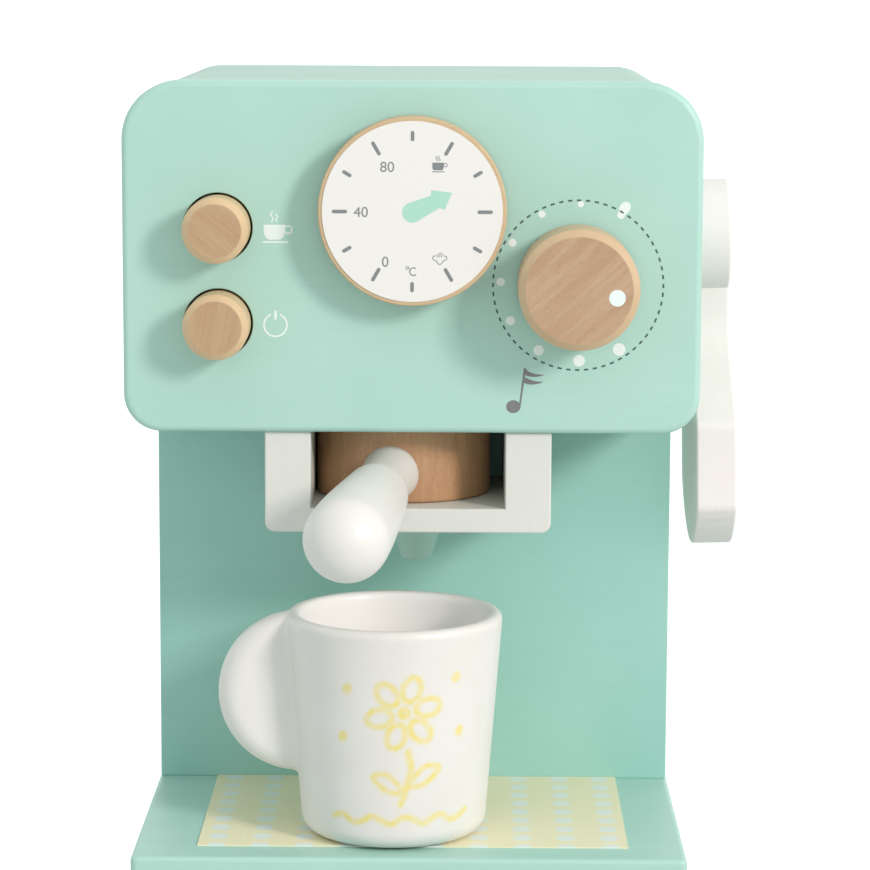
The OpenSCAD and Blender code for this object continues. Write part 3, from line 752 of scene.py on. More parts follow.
def curve_through(points: Sequence[Flat], parts: int = 8) -> list[Flat]:
    """Give a smooth line through some points.

    Args:
        points: The points, in order.
        parts: How many parts there are between two points.

    Returns:
        The line's points.
    """
    ends = [points[0], *points, points[-1]]
    out = []
    for p0, p1, p2, p3 in zip(ends, ends[1:], ends[2:], ends[3:]):
        for i in range(parts):
            t = i / parts
            out.append(tuple(0.5 * (2 * b + (c - a) * t + (2 * a - 5 * b + 4 * c - d) * t * t
                                    + (3 * b - a - 3 * c + d) * t ** 3)
                             for a, b, c, d in zip(p0, p1, p2, p3)))
    return [*out, points[-1]]


@dataclass
class Print:
    """A print in one ink on a face that looks to -Y. Its shapes are in X and Z."""

    name: str
    face_y: float
    ink: PrintInk
    film: float = 0.05
    sheets: list[Thing] = field(default_factory=list)

    def add(self, *outlines: Sequence[Flat]) -> Thing:
        """Print one shape; outlines after the first one are holes in it.

        Args:
            *outlines: Closed outlines.

        Returns:
            The shape's object.
        """
        curve = bpy.data.curves.new(self.name, "CURVE")
        curve.dimensions = "2D"
        curve.fill_mode = "BOTH"
        curve.extrude = self.film * MM / 2
        for outline in outlines:
            spline = curve.splines.new("POLY")
            spline.points.add(len(outline) - 1)
            for point, (x, z) in zip(spline.points, outline):
                point.co = (x * MM, z * MM, 0, 1)
            spline.use_cyclic_u = True
        sheet = bpy.data.objects.new(self.name, curve)
        bpy.context.scene.collection.objects.link(sheet)
        pick(sheet)
        bpy.ops.object.convert(target="MESH")
        return self.lay(bpy.context.object, (0, 0))

    def stroke(self, points: Sequence[Flat], width: float) -> None:
        """Print a pen stroke with round ends."""
        self.add(stroke_outline(points, width))

    def ring(self, centre: Flat, outer: float, inner: float, steps: int = 32) -> None:
        """Print a ring."""
        self.add(circle_outline(centre, outer, steps), circle_outline(centre, inner, steps))

    def lay(self, sheet: Thing, where: Flat) -> Thing:
        """Stand a flat mesh up against the face, at a place, a little off its neighbours' height."""
        lift = self.film * (0.3 + 0.15 * (len(self.sheets) % 3))
        sheet.rotation_euler = (math.pi / 2, 0, 0)
        sheet.location = metres(where[0], self.face_y - lift, where[1])
        settle(sheet)
        self.sheets.append(sheet)
        return sheet

    def write(self, words: str, middle: Flat, height: float, narrow: float = 1.0) -> None:
        """Print generic figures.

        Args:
            words: The figures.
            middle: Where their middle is.
            height: Their height.
            narrow: How wide they are, as a share of the type's own width.
        """
        deselect_all()
        bpy.ops.object.text_add(location=(0, 0, 0))
        text = bpy.context.object
        text.data.body = words
        text.data.size = 4 * MM
        text.data.extrude = self.film * MM / 2
        bpy.ops.object.convert(target="MESH")
        sheet = bpy.context.object
        xs = [v.co.x for v in sheet.data.vertices]
        ys = [v.co.y for v in sheet.data.vertices]
        scale = height * MM / (max(ys) - min(ys))
        centre = Vector(((max(xs) + min(xs)) / 2, (max(ys) + min(ys)) / 2, 0))
        for vertex in sheet.data.vertices:
            vertex.co = Vector(((vertex.co.x - centre.x) * scale * narrow,
                                (vertex.co.y - centre.y) * scale, vertex.co.z))
        self.lay(sheet, middle)

    def repeat(self, sheet: Thing, count: int, centre: Flat) -> None:
        """Copy a shape round a centre, each copy with its own mesh."""
        for i in range(1, count):
            copy = sheet.copy()
            copy.data = sheet.data.copy()
            bpy.context.scene.collection.objects.link(copy)
            middle = metres(centre[0], 0, centre[1])
            turn = Matrix.Rotation(2 * math.pi * i / count, 4, "Y")
            copy.data.transform(Matrix.Translation(middle) @ turn @ Matrix.Translation(-middle))
            self.sheets.append(copy)

    def finish(self, body: str, slot: str) -> Thing:
        """Join the print and give it to a body."""
        return hand_over(join_up(self.name, self.sheets), body, self.ink.material())


# ---------- the case ----------


@dataclass
class Case:
    """The painted boards, with the holder and the spout."""

    spout_at: Spot = (1.0, -18.8, 102.0)
    spout_r: float = 9.0
    spout_tip_r: float = 4.5
    spout_l: float = 14.0
    tenon: Flat = (3.9, 4.9)
    hole_r: float = 1.6
    hole_l: float = 3.0

    def build(self) -> None:
        """Build the boards and the spout."""
        boards = [
            Board("front_panel", MINT, 1.9, hole_ease=0.35),
            Board("top_board", MINT_TOP_PAINTED_SHEEN, 0.8),
            Board("column_front", MINT_COLUMN_PAINTED_SHADE, 0.3),
            *(Board(node, MINT, 0.7) for node in ("left_side", "right_side", "back_board")),
            Board("base_plate", MINT, 1.4),
            Board("filter_holder", HOLDER_WHITE_PAINTED_SHADE, 0.6, slot="white_paint"),
        ]
        for board in boards:
            board.build()
        self.spout()

    def spout(self) -> None:
        """Turn the tapered spout, with a shallow pouring hole in its tip."""
        tenon_r, tenon_l = self.tenon
        low, hole = -self.spout_l, -self.spout_l + self.hole_l
        profile = rounded([(0, tenon_l, 0), (tenon_r, tenon_l, 0), (tenon_r, GAP, 0),
                           (self.spout_r, GAP, 0.2),
                           (self.spout_tip_r, low, 1.2), (self.hole_r + 0.3, low, 0.4),
                           (self.hole_r, hole, 0.3), (0, hole, 0)], 5)
        turning = Turning("spout_turned", self.spout_at, (0, 0, 1), profile, 64)
        turning.dress(35, "case", MINT, "spout")


@dataclass
class PanelPrint:
    """What is printed on the front panel: two signs, the knob's ring and dots, and a note."""

    face_y: float = -56.0
    ring: Flat = (48.15, 175.50)
    ring_r: float = 24.67
    dash: Flat = (1.24, 0.5)
    dashes: int = 60
    dots: tuple[tuple[float, float, float], ...] = (
        (48.64, 199.05, 0.92), (37.45, 196.05, 1.04), (29.01, 187.82, 1.16), (25.71, 176.46, 1.24),
        (28.58, 165.12, 1.33), (36.84, 156.55, 1.50), (48.63, 153.57, 1.71), (60.24, 156.91, 1.85))
    power: Flat = (-39.57, 163.54)

    def build(self) -> None:
        """Print in white, dark green and grey."""
        white = Print("panel_white_print", self.face_y, WHITE_INK)
        for x, z, r in self.dots:
            white.add(circle_outline((x, z), r))
        white.stroke([(60.23, 195.92), (60.75, 196.9)], 2.2)
        white.stroke([(61.1, 197.6), (61.61, 198.35)], 3.0)
        self.power_sign(white)
        self.cup_sign(white)
        white.finish("case", "painted_board")

        green = Print("panel_ring_print", self.face_y - 0.02, RING_INK)
        length, width = self.dash
        x, z = self.ring[0] - length / 2, self.ring[1] + self.ring_r
        first = green.add([(x, z - width / 2), (x + length, z - width / 2),
                           (x + length, z + width / 2), (x, z + width / 2)])
        green.repeat(first, self.dashes, self.ring)
        green.finish("case", "painted_board")

        grey = Print("panel_note_print", self.face_y, GREY_INK)
        self.note(grey)
        grey.finish("case", "painted_board")

    def power_sign(self, ink: Print) -> None:
        """Print an open ring with a bar in its gap."""
        x, z = self.power
        arc = [(x + 3.33 * math.sin(math.radians(a)), z + 3.33 * math.cos(math.radians(a)))
               for a in range(27, 334, 6)]
        ink.stroke(arc, 0.52)
        ink.stroke([(x, z + 1.9), (x, z + 3.9)], 0.75)

    def cup_sign(self, ink: Print) -> None:
        """Print a cup on a saucer with two curls of steam."""
        ink.add([(-42.93, 192.7), (-42.85, 190.4), (-42.5, 189.3), (-41.9, 188.6), (-41.3, 188.36),
                 (-38.35, 188.36), (-37.75, 188.6), (-37.15, 189.3), (-36.75, 190.4), (-36.65, 192.7)])
        ink.ring((-35.85, 191.25), 1.36, 0.86)
        ink.stroke([(-42.95, 187.66), (-36.0, 187.66)], 0.5)
        for curl in ([(-40.35, 196.5), (-40.85, 195.6), (-40.25, 194.5), (-40.55, 193.5)],
                     [(-39.35, 195.7), (-38.85, 194.9), (-39.3, 194.2), (-39.1, 193.5)]):
            ink.stroke(curve_through(curl), 0.36)

    def note(self, ink: Print) -> None:
        """Print a note with two flags."""
        ink.add([(29.65 + 2.0776 * math.cos(a), 139.98 + 1.9 * math.sin(a))
                 for a in (2 * math.pi * i / 36 for i in range(36))])
        ink.add([(31.25, 139.9), (31.78, 139.9), (33.25, 151.35), (32.62, 151.35)])
        for top, bottom in (
                ([(32.9, 151.2), (34.4, 150.1), (36.3, 149.55), (38.47, 149.34)],
                 [(38.3, 149.2), (36.2, 148.75), (34.4, 148.85), (33.05, 149.25)]),
                ([(32.95, 148.6), (34.4, 147.95), (36.2, 147.45), (38.27, 147.3)],
                 [(38.1, 147.15), (36.4, 146.65), (34.4, 146.5), (32.75, 146.95)])):
            ink.add(curve_through(top) + curve_through(bottom))


# ---------- controls ----------


@dataclass
class PushButton:
    """A turned beech button on its stem."""

    name: str
    node: str
    body: str
    at: Flat
    grain: float
    radius: float = 9.5
    front_y: float = -69.0
    back_y: float = -43.9
    pith_y: float = -60.0
    chamfer: float = 1.8

    def build(self) -> None:
        """Turn the cap and dress it with grain across its face."""
        length, face_r = self.back_y - self.front_y, self.radius - self.chamfer
        profile = rounded([(0, length, 0), (self.radius - 0.6, length, 0.1),
                           (self.radius - 0.1, length - 0.5, 0.3), (self.radius, self.chamfer, 0.5),
                           (face_r, GAP, 0.35), (0, 0, 0)], 4)
        x, z = self.at
        # The rim colour is partly end grain and partly painted highlight.
        wood = Beech("sealed_beech_" + self.body, "#BEA07D", "#AE8C69", "#967352", (x, self.pith_y, z),
                     (0, self.grain, 0), band_mm=3.4, rim="#DEC49A", rim_from=face_r)
        turning = Turning(self.name, (x, self.front_y, z), (0, 1, 0), profile, 96)
        turning.dress(30, self.body, wood, self.node)


@dataclass
class ReturnSpring:
    """The coil spring behind a button. The real one shortens as the button goes in; this copy keeps its
    length.
    """

    node: str
    joint: str
    seat_y: float = -26.0
    travel: float = 6.0

    def build(self) -> None:
        """Copy the coil and dress it as it stands."""
        piece = node_copy(self.node, self.node + "_coil")
        with edit_mode(piece):
            merge_loose()
        smooth_shade(piece, 50, weighted=False)
        hand_over(piece, "case", SPRING_WIRE.material(), [self.node])
        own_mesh(piece)


@dataclass
class Dial:
    """The big dial: a beech disc with a white printed face."""

    centre: Flat = (0.2, 197.4)
    radius: float = 27.1
    front_y: float = -66.0
    back_y: float = -56.8
    pith_y: float = -60.0
    face_y: float = -66.3
    tick: float = 1.03
    pointer_turn: float = 26.0

    def build(self) -> None:
        """Turn the disc, then print the scale, its signs and the pointer."""
        length = self.back_y - self.front_y
        profile = rounded([(0, length, 0), (self.radius - 0.3, length, 0), (self.radius, length - 0.3, 0),
                           (self.radius, GAP / 2, 0.55), (0, 0, 0)], 5)
        x, z = self.centre
        wood = Beech("sealed_beech_dial", "#CDB58F", "#BEA37E", "#A68863", (x, self.pith_y, z), (0, -20, 0))
        turning = Turning("dial_disc_turned", (x, self.front_y, z), (0, 1, 0), profile, 144)
        turning.dress(30, "dial", wood, "dial_disc")
        self.scale()
        self.pointer()

    def scale(self) -> None:
        """Print twelve ticks, three figures, the unit and two small signs."""
        ink = Print("dial_scale_print", self.face_y, DIAL_INK)
        x, z = self.centre
        for hour in range(12):
            low, high = (18.6, 23.0) if hour % 2 else (20.1, 23.05)
            turn = math.radians(30 * hour)
            way = (math.sin(turn), math.cos(turn))
            inner = (x + way[0] * (low + self.tick / 2), z + way[1] * (low + self.tick / 2))
            outer = (x + way[0] * (high - self.tick / 2), z + way[1] * (high - self.tick / 2))
            ink.stroke([inner, outer], self.tick)
        ink.write("80", (x - 7.2, z + 12.8), 2.95)
        ink.write("40", (x - 14.7, z - 0.1), 2.95)
        ink.write("0", (x - 7.7, z - 14.3), 2.95)
        ink.write("C", (x + 0.15, z - 17.1), 2.5, 0.9)
        ink.ring((x - 1.35, z - 16.05), 0.5, 0.28)
        self.cup_sign(ink, (x + 7.3, z + 13.0))
        self.steam_sign(ink, (x + 7.9, z - 13.5))
        ink.finish("dial", "dial_print")

    def cup_sign(self, ink: Print, at: Flat) -> None:
        """Print a small cup with a saucer, a handle and two curls of steam."""
        body = [(-1.65, 1.05), (-1.6, -0.6), (-1.25, -1.1), (1.25, -1.1), (1.5, -0.6), (1.6, 1.05)]
        ink.add(shift(body, at))
        ring = (at[0] + 2.1, at[1] + 0.35)
        ink.ring(ring, 0.62, 0.42, 20)
        ink.stroke(shift([(-1.65, -1.55), (1.75, -1.55)], at), 0.24)
        for side in (-0.35, 0.4):
            curl = curve_through([(side, 2.9), (side - 0.3, 2.4), (side + 0.2, 1.95), (side, 1.5)], 4)
            ink.stroke(shift(curl, at), 0.2)

    def steam_sign(self, ink: Print, at: Flat) -> None:
        """Print the outline of a small cloud with three short strokes of steam."""
        cloud = [(-1.1, 1.0), (-1.85, 0.75), (-2.0, 0.1), (-1.5, -0.35), (-1.0, -0.5), (-0.6, -1.2),
                 (0.0, -1.5), (0.6, -1.2), (1.0, -0.5), (1.5, -0.35), (2.0, 0.1), (1.85, 0.75), (1.1, 1.0)]
        ink.stroke(shift(curve_through(cloud, 4), at), 0.22)
        for i, x in enumerate((-0.55, 0.0, 0.55)):
            ink.stroke(shift([(x + 0.15, 1.9 - 0.25 * (i != 1)), (x - 0.05, 0.6)], at), 0.2)

    def pointer(self) -> None:
        """Print the mint pointer: a round tail, a body that widens and a barbed tip."""
        ink = Print("dial_pointer_print", self.face_y, MINT_INK)
        tail = [(-2.9 * math.cos(a), 2.9 * math.sin(a)) for a in
                (math.radians(d) for d in range(-105, 106, 15))]
        shape = [*tail, (7.0, 2.05), (7.6, 3.45), (12.7, 0.15), (8.6, -3.3), (7.6, -2.2)]
        placed = [turned(Vector(p), math.radians(self.pointer_turn)) for p in shape]
        ink.add(shift([(p.x, p.y) for p in placed], (self.centre[0], self.centre[1] - 0.2)))
        ink.finish("dial", "dial_print")


@dataclass
class SoundKnob:
    """The turned beech knob with an inlaid white dot."""

    centre: Flat = (47.8, 176.1)
    radius: float = 17.3
    front_y: float = -77.5
    back_y: float = -57.0
    pith_y: float = -68.0
    chamfer: float = 2.0
    dot: tuple[float, float, float] = (10.67, -1.97, 2.36)
    grain: float = -42.0

    def build(self) -> None:
        """Turn the knob, then print its dot."""
        length, face_r = self.back_y - self.front_y, self.radius - self.chamfer
        profile = rounded([(0, length, 0), (self.radius - 0.6, length, 0.2),
                           (self.radius, length - 0.6, 0.3), (self.radius, self.chamfer, 0.6),
                           (face_r, GAP, 0.35), (0, 0, 0)], 5)
        x, z = self.centre
        # The rim colour is partly end grain and partly painted highlight.
        wood = Beech("sealed_beech_knob", "#BFA182", "#A98768", "#8F6C4B", (x, self.pith_y, z),
                     (0, self.grain, 0), band_mm=3.2, rim="#D2B993", rim_from=face_r)
        turning = Turning("sound_knob_turned", (x, self.front_y, z), (0, 1, 0), profile, 128)
        turning.dress(30, "knob", wood, "sound_knob")
        ink = Print("knob_dot_print", self.front_y, WHITE_INK)
        ink.add(circle_outline((x + self.dot[0], z + self.dot[1]), self.dot[2], 48))
        ink.finish("knob", "turned_beech")


# ---------- the filter ----------


@dataclass
class Filter:
    """The stained disc and its turned white handle."""

    centre: Spot = (-2.9, -18.8, 109.3)
    radius: float = 26.3
    height: float = 22.0
    edge: float = 0.8
    handle_z: float = 120.1
    turn: float = 8.0
    droop: float = 4.8
    root_r: float = 8.5
    bulb_r: float = 12.1
    reach: float = 99.49
    root_at: float = 24.3
    root_edge: float = 1.2
    steps: int = 48
    neck_dip: float = 1.4
    neck_dip_end: float = 0.35
    swell: float = 1.04

    def radius_at(self, t: float) -> float:
        """Give the handle's radius, t = 0 at its root and 1 at the middle of its bulb."""
        e = t ** self.swell
        return (self.root_r + (self.bulb_r - self.root_r) * e * e * (3 - 2 * e)
                - self.neck_dip * math.sin(math.pi * min(1, t / self.neck_dip_end)))

    def build(self) -> None:
        """Turn the disc and the handle."""
        r, h = self.radius, self.height
        profile = rounded([(0, 0, 0), (r, 0, self.edge), (r, h, self.edge), (0, h, 0)], 5)
        wood = Beech("stained_beech", "#BA916A", "#A67C57", "#8D6547", self.centre, (0, 90, 0),
                     band_mm=2.6, fleck_share=0.35)
        disc = Turning("filter_disc_turned", self.centre, (0, 0, 1), profile, 128)
        disc.dress(30, "filter", wood, "filter_disc")

        yaw, droop = math.radians(self.turn), math.radians(self.droop)
        level = math.cos(droop)
        way = Vector((-math.sin(yaw) * level, -math.cos(yaw) * level, -math.sin(droop)))
        start, edge, steps = self.root_at, self.root_edge, self.steps
        line = [(0.0, start), (self.root_r - edge, start), (self.root_r - 0.35, start + 0.35),
                (self.root_r, start + edge)]
        line += [(self.radius_at(i / steps), start + edge + (self.reach - start - edge) * i / steps)
                 for i in range(1, steps + 1)]
        line += [(self.bulb_r * math.cos(a), self.reach + self.bulb_r * math.sin(a))
                 for a in (math.radians(degrees) for degrees in range(5, 90, 5))]
        line.append((0.0, self.reach + self.bulb_r))
        handle = Turning("filter_handle_turned", (self.centre[0], self.centre[1], self.handle_z),
                         (way.x, way.y, way.z), line, 96)
        handle.dress(40, "filter", WHITE, "filter_handle")


# ---------- the mug ----------


@dataclass
class Mug:
    """The turned play cup with its solid half-round ear."""

    at: Spot = (-5.0, -52.0, 12.5)
    height: float = 66.0
    rim_r: float = 32.2
    foot_r: float = 27.2
    wall: float = 4.4
    floor: float = 6.0
    foot_edge: float = 5.5
    ear_r: float = 24.0
    ear_t: float = 14.0
    ear_edge: float = 6.2
    ear_out: float = 27.9
    ear_up: float = 42.0
    ear_turn: float = 2.0
    grain: float = 0.62
    spare: float = 20.0
    join_reach: float = 3.2
    join_rounds: int = 24
    skin_rounds: int = 3
    skin_t: float = 1.2
    inside_light_fade: float = 1.4
    front_turn: float = 2.0
    painted: Flat = (5.0, 60.0)
    painted_to_y: float = -8.0
    stroke_solid: float = 0.3
    stroke_soft: float = 0.45

    def build(self) -> None:
        """Join cup and ear into one skin, soften the join and paint the design."""
        cup = self.cup()
        combine(cup, self.ear(), "UNION")
        apply_modifier(cup, "REMESH", mode="VOXEL", voxel_size=self.grain * MM, use_smooth_shade=True)
        self.soften(cup)
        self.paint(cup)
        smooth_shade(cup, 60, weighted=False)
        hand_over(cup, "mug", WARE.material(), ["mug_cup", "mug_handle"])

    def cup(self) -> Thing:
        """Turn the cup.

        Returns:
            The cup without its ear.
        """
        lip = self.wall / 2
        top = self.height
        profile = rounded([(0, 0, 0), (self.foot_r - 0.2, 0, self.foot_edge), (self.rim_r, top, lip - 0.05),
                           (self.rim_r - self.wall, top, lip - 0.05),
                           (self.foot_r - self.wall, self.floor, 2.2), (0, self.floor, 0)], 10)
        return Turning("mug_ware", self.at, (0, 0, 1), profile, 160).build()

    def ear(self) -> Thing:
        """Turn the ear's disc and cut away what would stand inside the cup.

        Returns:
            The ear.
        """
        half, turn = self.ear_t / 2, math.radians(self.ear_turn)
        out = Vector((-math.cos(turn), -math.sin(turn), 0)) * self.ear_out
        centre = (self.at[0] + out.x, self.at[1] + out.y, self.at[2] + self.ear_up)
        profile = rounded([(0, -half, 0), (self.ear_r, -half, self.ear_edge),
                           (self.ear_r, half, self.ear_edge), (0, half, 0)], 10)
        ear = Turning("mug_ear", centre, (-math.sin(turn), math.cos(turn), 0), profile, 96).build()
        low, high = -self.spare, self.height + self.spare
        plug = Turning("mug_plug", self.at, (0, 0, 1),
                       [(0, low), (self.skin_r(low) - self.wall / 2, low),
                        (self.skin_r(high) - self.wall / 2, high), (0, high)], 96).build()
        combine(ear, plug, "DIFFERENCE")
        return ear

    def skin_r(self, up: float) -> float:
        """Give the radius of the cup's outside at a height above its foot."""
        return self.foot_r + (self.rim_r - self.foot_r) / self.height * up

    def join_share(self, place: Vector) -> float:
        """Give how near a point is to the line where the ear meets the cup, from 0 to 1."""
        x, y, z = [c / MM for c in place]
        x, y, z = x - self.at[0], y - self.at[1], z - self.at[2]
        turn = math.radians(self.ear_turn)
        along = -x * math.cos(turn) - y * math.sin(turn)
        across = -x * math.sin(turn) + y * math.cos(turn)
        off_cup = abs(math.hypot(x, y) - self.skin_r(z))
        up, half = z - self.ear_up, self.ear_t / 2
        round_off = math.hypot(along - self.ear_out, up) - self.ear_r
        off_ear = abs(max(round_off, abs(across) - half))
        if along < 0:
            return 0.0
        return max(0.0, 1 - max(off_cup, off_ear) / self.join_reach)

    def soften(self, piece: Thing) -> None:
        """Smooth the whole skin a little and the join a lot."""
        apply_modifier(piece, "SMOOTH", factor=0.5, iterations=self.skin_rounds)
        group = piece.vertex_groups.new(name="join")
        for vertex in piece.data.vertices:
            share = self.join_share(vertex.co)
            if share > 0:
                group.add([vertex.index], share, "REPLACE")
        apply_modifier(piece, "SMOOTH", factor=0.5, iterations=self.join_rounds, vertex_group="join")
        piece.vertex_groups.clear()

    def strokes(self) -> list[tuple[list[Flat], float]]:
        """Give the painted design, as lines on the unrolled front and their pen widths.

        Returns:
            Lines in millimetres, right of the front's middle and up from the foot.
        """
        flower = (2.5, 42.0)
        lines: list[tuple[list[Flat], float]] = []
        for i in range(6):
            turn = math.radians(60 * i + 12)
            middle = turned(Vector((7.3, 0)), turn)
            petal = [middle + turned(Vector((3.7 * math.cos(a), 2.6 * math.sin(a))), turn)
                     for a in (2 * math.pi * j / 20 for j in range(21))]
            lines.append((shift([(p.x, p.y) for p in petal], flower), 1.8))
        lines.append((circle_outline(flower, 1.1, 12), 1.9))
        stem = [(3.6, 30.4), (4.6, 25.0), (3.2, 19.5), (1.6, 14.5)]
        right_leaf = [(3.6, 20.0), (8.6, 20.4), (13.2, 25.0), (8.2, 25.4), (3.6, 20.0)]
        left_leaf = [(2.6, 18.0), (-1.9, 18.2), (-6.4, 22.6), (-2.0, 23.2), (2.6, 18.0)]
        lines.append((curve_through(stem), 2.0))
        lines += [(curve_through(leaf), 1.7) for leaf in (right_leaf, left_leaf)]
        wave = [(-19 + 3 * i, 9.6 + 1.2 * math.sin(1.9 * i)) for i in range(15)]
        lines.append((curve_through(wave, 4), 1.8))
        for spot in ((-14.5, 48.5), (-16.0, 34.0), (18.5, 51.5), (20.0, 35.0)):
            lines.append(([spot, (spot[0] + 0.3, spot[1] + 0.5)], 2.8))
        return lines

    def paint(self, piece: Thing) -> None:
        """Write how much yellow each outer point has, soft at a stroke's edge, and how much painted light
        whitens the inside.
        """
        lines = self.strokes()
        layer = piece.data.attributes.new("ink", "FLOAT", "POINT")
        inside_light = piece.data.attributes.new("inside_light", "FLOAT", "POINT")
        front = math.radians(self.front_turn - 90)
        for vertex in piece.data.vertices:
            x = vertex.co.x / MM - self.at[0]
            y = vertex.co.y / MM - self.at[1]
            z = vertex.co.z / MM - self.at[2]
            reach, skin = math.hypot(x, y), self.skin_r(z)
            # Painted light: points inside the cup are whitened, fading in from the inner wall.
            if z > self.floor - 1:
                inside_light.data[vertex.index].value = max(0.0, min(1.0, skin - self.wall + self.inside_light_fade - reach))
            outside = reach >= skin - self.skin_t
            if y > self.painted_to_y or not outside or not self.painted[0] < z < self.painted[1]:
                continue
            here = ((math.atan2(y, x) - front) * reach, z)
            layer.data[vertex.index].value = max(self.cover(here, line, width) for line, width in lines)

    def cover(self, here: Flat, line: Sequence[Flat], width: float) -> float:
        """Give a stroke's cover at a point: one inside it, falling to nought at its soft edge."""
        best = math.inf
        for a, b in zip(line, line[1:]):
            along = (b[0] - a[0], b[1] - a[1])
            size = along[0] ** 2 + along[1] ** 2 or 1.0
            t = max(0.0, min(1.0, ((here[0] - a[0]) * along[0] + (here[1] - a[1]) * along[1]) / size))
            best = min(best, math.hypot(here[0] - a[0] - t * along[0], here[1] - a[1] - t * along[1]))
            if best < width / 2 - self.stroke_solid:
                return 1.0
        return max(0.0, min(1.0, (width / 2 + self.stroke_soft - best) / (2 * self.stroke_soft)))


# ---------- what stays the frame's own ----------


@dataclass
class OwnParts:
    """The frame's nodes that keep their own shape and get a better finish."""

    finishes: Mapping[Finish, Sequence[str]] = field(default_factory=lambda: {
        MAT: ["drip_mat"], DIAL_WHITE: ["dial_face"], MINT: ["head_floor"], SPRING_WIRE: ["click_reed"],
        FIBRE: ["button_bridge", "bridge_blocks", "reed_block"],
        BIRCH: ["panel_dowels", "brew_retainer", "brew_stem", "power_retainer", "power_stem", "dial_axle",
                "dial_retainer", "knob_shaft", "click_wheel", "filter_dowel", "lever_spacer"],
        ZINC: ["bridge_screws", "base_screws", "back_screws", "holder_screws"],
        NICKEL: ["knob_washer", "knob_screw", "reed_screws", "lever_bolt", "lever_washer", "lever_nut"]})

    def build(self) -> None:
        """Give each node its finish."""
        for finish, names in self.finishes.items():
            for name in names:
                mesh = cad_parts[name].data
                mesh.materials.clear()
                mesh.materials.append(finish.material())
            LOG.info("%s: %s", finish.name, ", ".join(names))


# ---------- the studio ----------


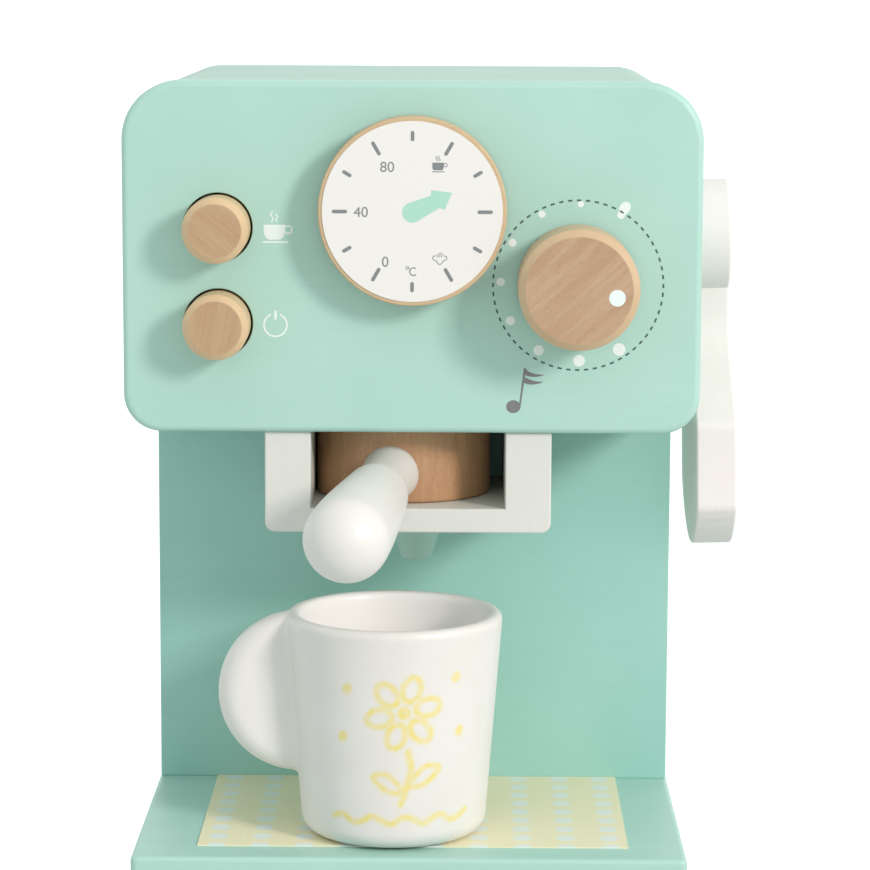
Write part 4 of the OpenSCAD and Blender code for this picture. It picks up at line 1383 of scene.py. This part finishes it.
@dataclass
class Studio:
    """Camera, floor and soft light."""

    camera_at: Spot = (13.214, -960.639, 267.977)
    pitch: float = 8.579
    yaw: float = -0.401
    roll: float = 0.255
    lens: float = 129.78
    sensor: float = 36.0
    floor_side: float = 160_000.0
    floor_drop: float = 0.1
    key_aim: Spot = (0.0, -50.0, 160.0)
    sky: float = 0.79
    sky_seen: float = 1.2
    key_at: Spot = (1575.0, -1560.0, 1120.0)
    key_size: Flat = (420.0, 520.0)
    key_power: float = 31.0
    key_colour: Spot = (1.12, 1.0, 0.985)
    sky_colour: Spot = (0.955, 1.0, 1.0)
    floor_glow: float = 0.5

    def build(self) -> None:
        """Set up the view, the floor and the lights."""
        self.camera()
        floor = self.floor()
        self.world()
        key = self.lamp("key_light", self.key_at, self.key_aim, self.key_power)
        key.data.size, key.data.size_y = (side * MM for side in self.key_size)
        key.data.color = self.key_colour
        self.only_for(key, floor, "EXCLUDE")
        bpy.context.scene.view_settings.view_transform = "Standard"

    def spare(self, piece: Thing) -> None:
        """Keep one piece's shadow in the key light off all others."""
        key = bpy.data.objects["key_light"]
        key.light_linking.blocker_collection = self.group("key_light_blockers", piece, "EXCLUDE")

    def camera(self) -> None:
        """Add the camera and make it the scene's own."""
        pitch, yaw, roll = math.radians(self.pitch), math.radians(self.yaw), math.radians(self.roll)
        ahead = Vector((math.sin(yaw) * math.cos(pitch), math.cos(yaw) * math.cos(pitch), -math.sin(pitch)))
        right = ahead.cross(Vector((0, 0, 1))).normalized()
        up = right.cross(ahead)
        right, up = (right * math.cos(roll) + up * math.sin(roll),
                     up * math.cos(roll) - right * math.sin(roll))
        data = bpy.data.cameras.new("camera")
        data.lens = self.lens
        data.sensor_width, data.clip_start, data.clip_end = self.sensor, 0.05, 300
        camera = bpy.data.objects.new("camera", data)
        bpy.context.scene.collection.objects.link(camera)
        turn = Matrix((right, up, -ahead)).transposed().to_4x4()
        camera.matrix_world = Matrix.Translation(metres(*self.camera_at)) @ turn
        bpy.context.scene.camera = camera

    def floor(self) -> Thing:
        """Add the plain pale floor."""
        deselect_all()
        bpy.ops.mesh.primitive_plane_add(size=self.floor_side * MM, location=metres(0, 0, -self.floor_drop))
        floor = bpy.context.object
        floor.name = "studio_floor"
        settle(floor)
        paper = SatinLacquer("white_studio_paper", "#FBFBFA", "#F9F9F8", roughness=0.8, streak_depth=0.0)
        floor.data.materials.append(paper.material())
        shader = next(node for node in paper.material().node_tree.nodes if node.type == "BSDF_PRINCIPLED")
        shader.inputs["Emission Color"].default_value = (1, 1, 1, 1)
        shader.inputs["Emission Strength"].default_value = self.floor_glow
        self.only_for(floor, floor, "INCLUDE")
        return floor

    def world(self) -> None:
        """Light everything softly with white, brighter where it is seen or mirrored."""
        world = bpy.data.worlds.new("white_room")
        world.use_nodes = True
        world.node_tree.nodes.clear()
        soft = add_node(world.node_tree, "ShaderNodeLightPath").outputs["Is Diffuse Ray"]
        strength = add_node(world.node_tree, "ShaderNodeMapRange",
                            dict(enumerate((soft, 0, 1, self.sky_seen, self.sky))))
        sky = add_node(world.node_tree, "ShaderNodeBackground",
                       {"Color": (*self.sky_colour, 1), "Strength": strength.outputs[0]})
        add_node(world.node_tree, "ShaderNodeOutputWorld", {"Surface": sky.outputs[0]})
        bpy.context.scene.world = world

    def lamp(self, name: str, at: Spot, aim: Spot, power: float) -> Thing:
        """Add a flat lamp.

        Args:
            name: The lamp's name.
            at: Where it is, in millimetres.
            aim: What it points at, in millimetres.
            power: Its power.

        Returns:
            The lamp.
        """
        data = bpy.data.lights.new(name, "AREA")
        data.shape = "RECTANGLE"
        data.energy = power
        lamp = bpy.data.objects.new(name, data)
        bpy.context.scene.collection.objects.link(lamp)
        lamp.location = metres(*at)
        lamp.rotation_euler = (metres(*aim) - metres(*at)).to_track_quat("-Z", "Y").to_euler()
        return lamp

    @staticmethod
    def group(name: str, thing: Thing, state: str) -> bpy.types.Collection:
        """Give a light group that names one object, as the only one or as the one left out.

        Args:
            name: The group's name.
            thing: The object.
            state: INCLUDE or EXCLUDE.

        Returns:
            The group.
        """
        group = bpy.data.collections.new(name)
        group.objects.link(thing)
        group.collection_objects[0].light_linking.link_state = state
        return group

    def only_for(self, lamp: Thing, thing: Thing, state: str) -> None:
        """Let a lamp, or an object that glows, light only one object, or all but that object.

        Args:
            lamp: What gives the light.
            thing: The object.
            state: INCLUDE or EXCLUDE.
        """
        lamp.light_linking.receiver_collection = self.group(lamp.name + "_reach", thing, state)


def main() -> None:
    """Build the studio and the whole toy, in order."""
    logging.basicConfig(level=logging.INFO, format="%(name)s: %(message)s")
    deselect_all()
    studio = Studio()
    studio.build()
    Case().build()
    PanelPrint().build()
    PushButton("brew_button_turned", "brew_button", "brew_plunger", (-56.2, 191.8), 38).build()
    PushButton("power_button_turned", "power_button", "power_plunger", (-56.2, 164.0), -80).build()
    ReturnSpring("brew_spring", "brew_button_press").build()
    ReturnSpring("power_spring", "power_button_press").build()
    Dial().build()
    SoundKnob().build()
    Filter().build()
    lever = Board("side_lever", LEVER_WHITE, 0.8, body="lever", slot="white_paint").build()
    studio.spare(lever)
    Mug().build()
    OwnParts().build()
    deselect_all()


if __name__ == "__main__":
    main()
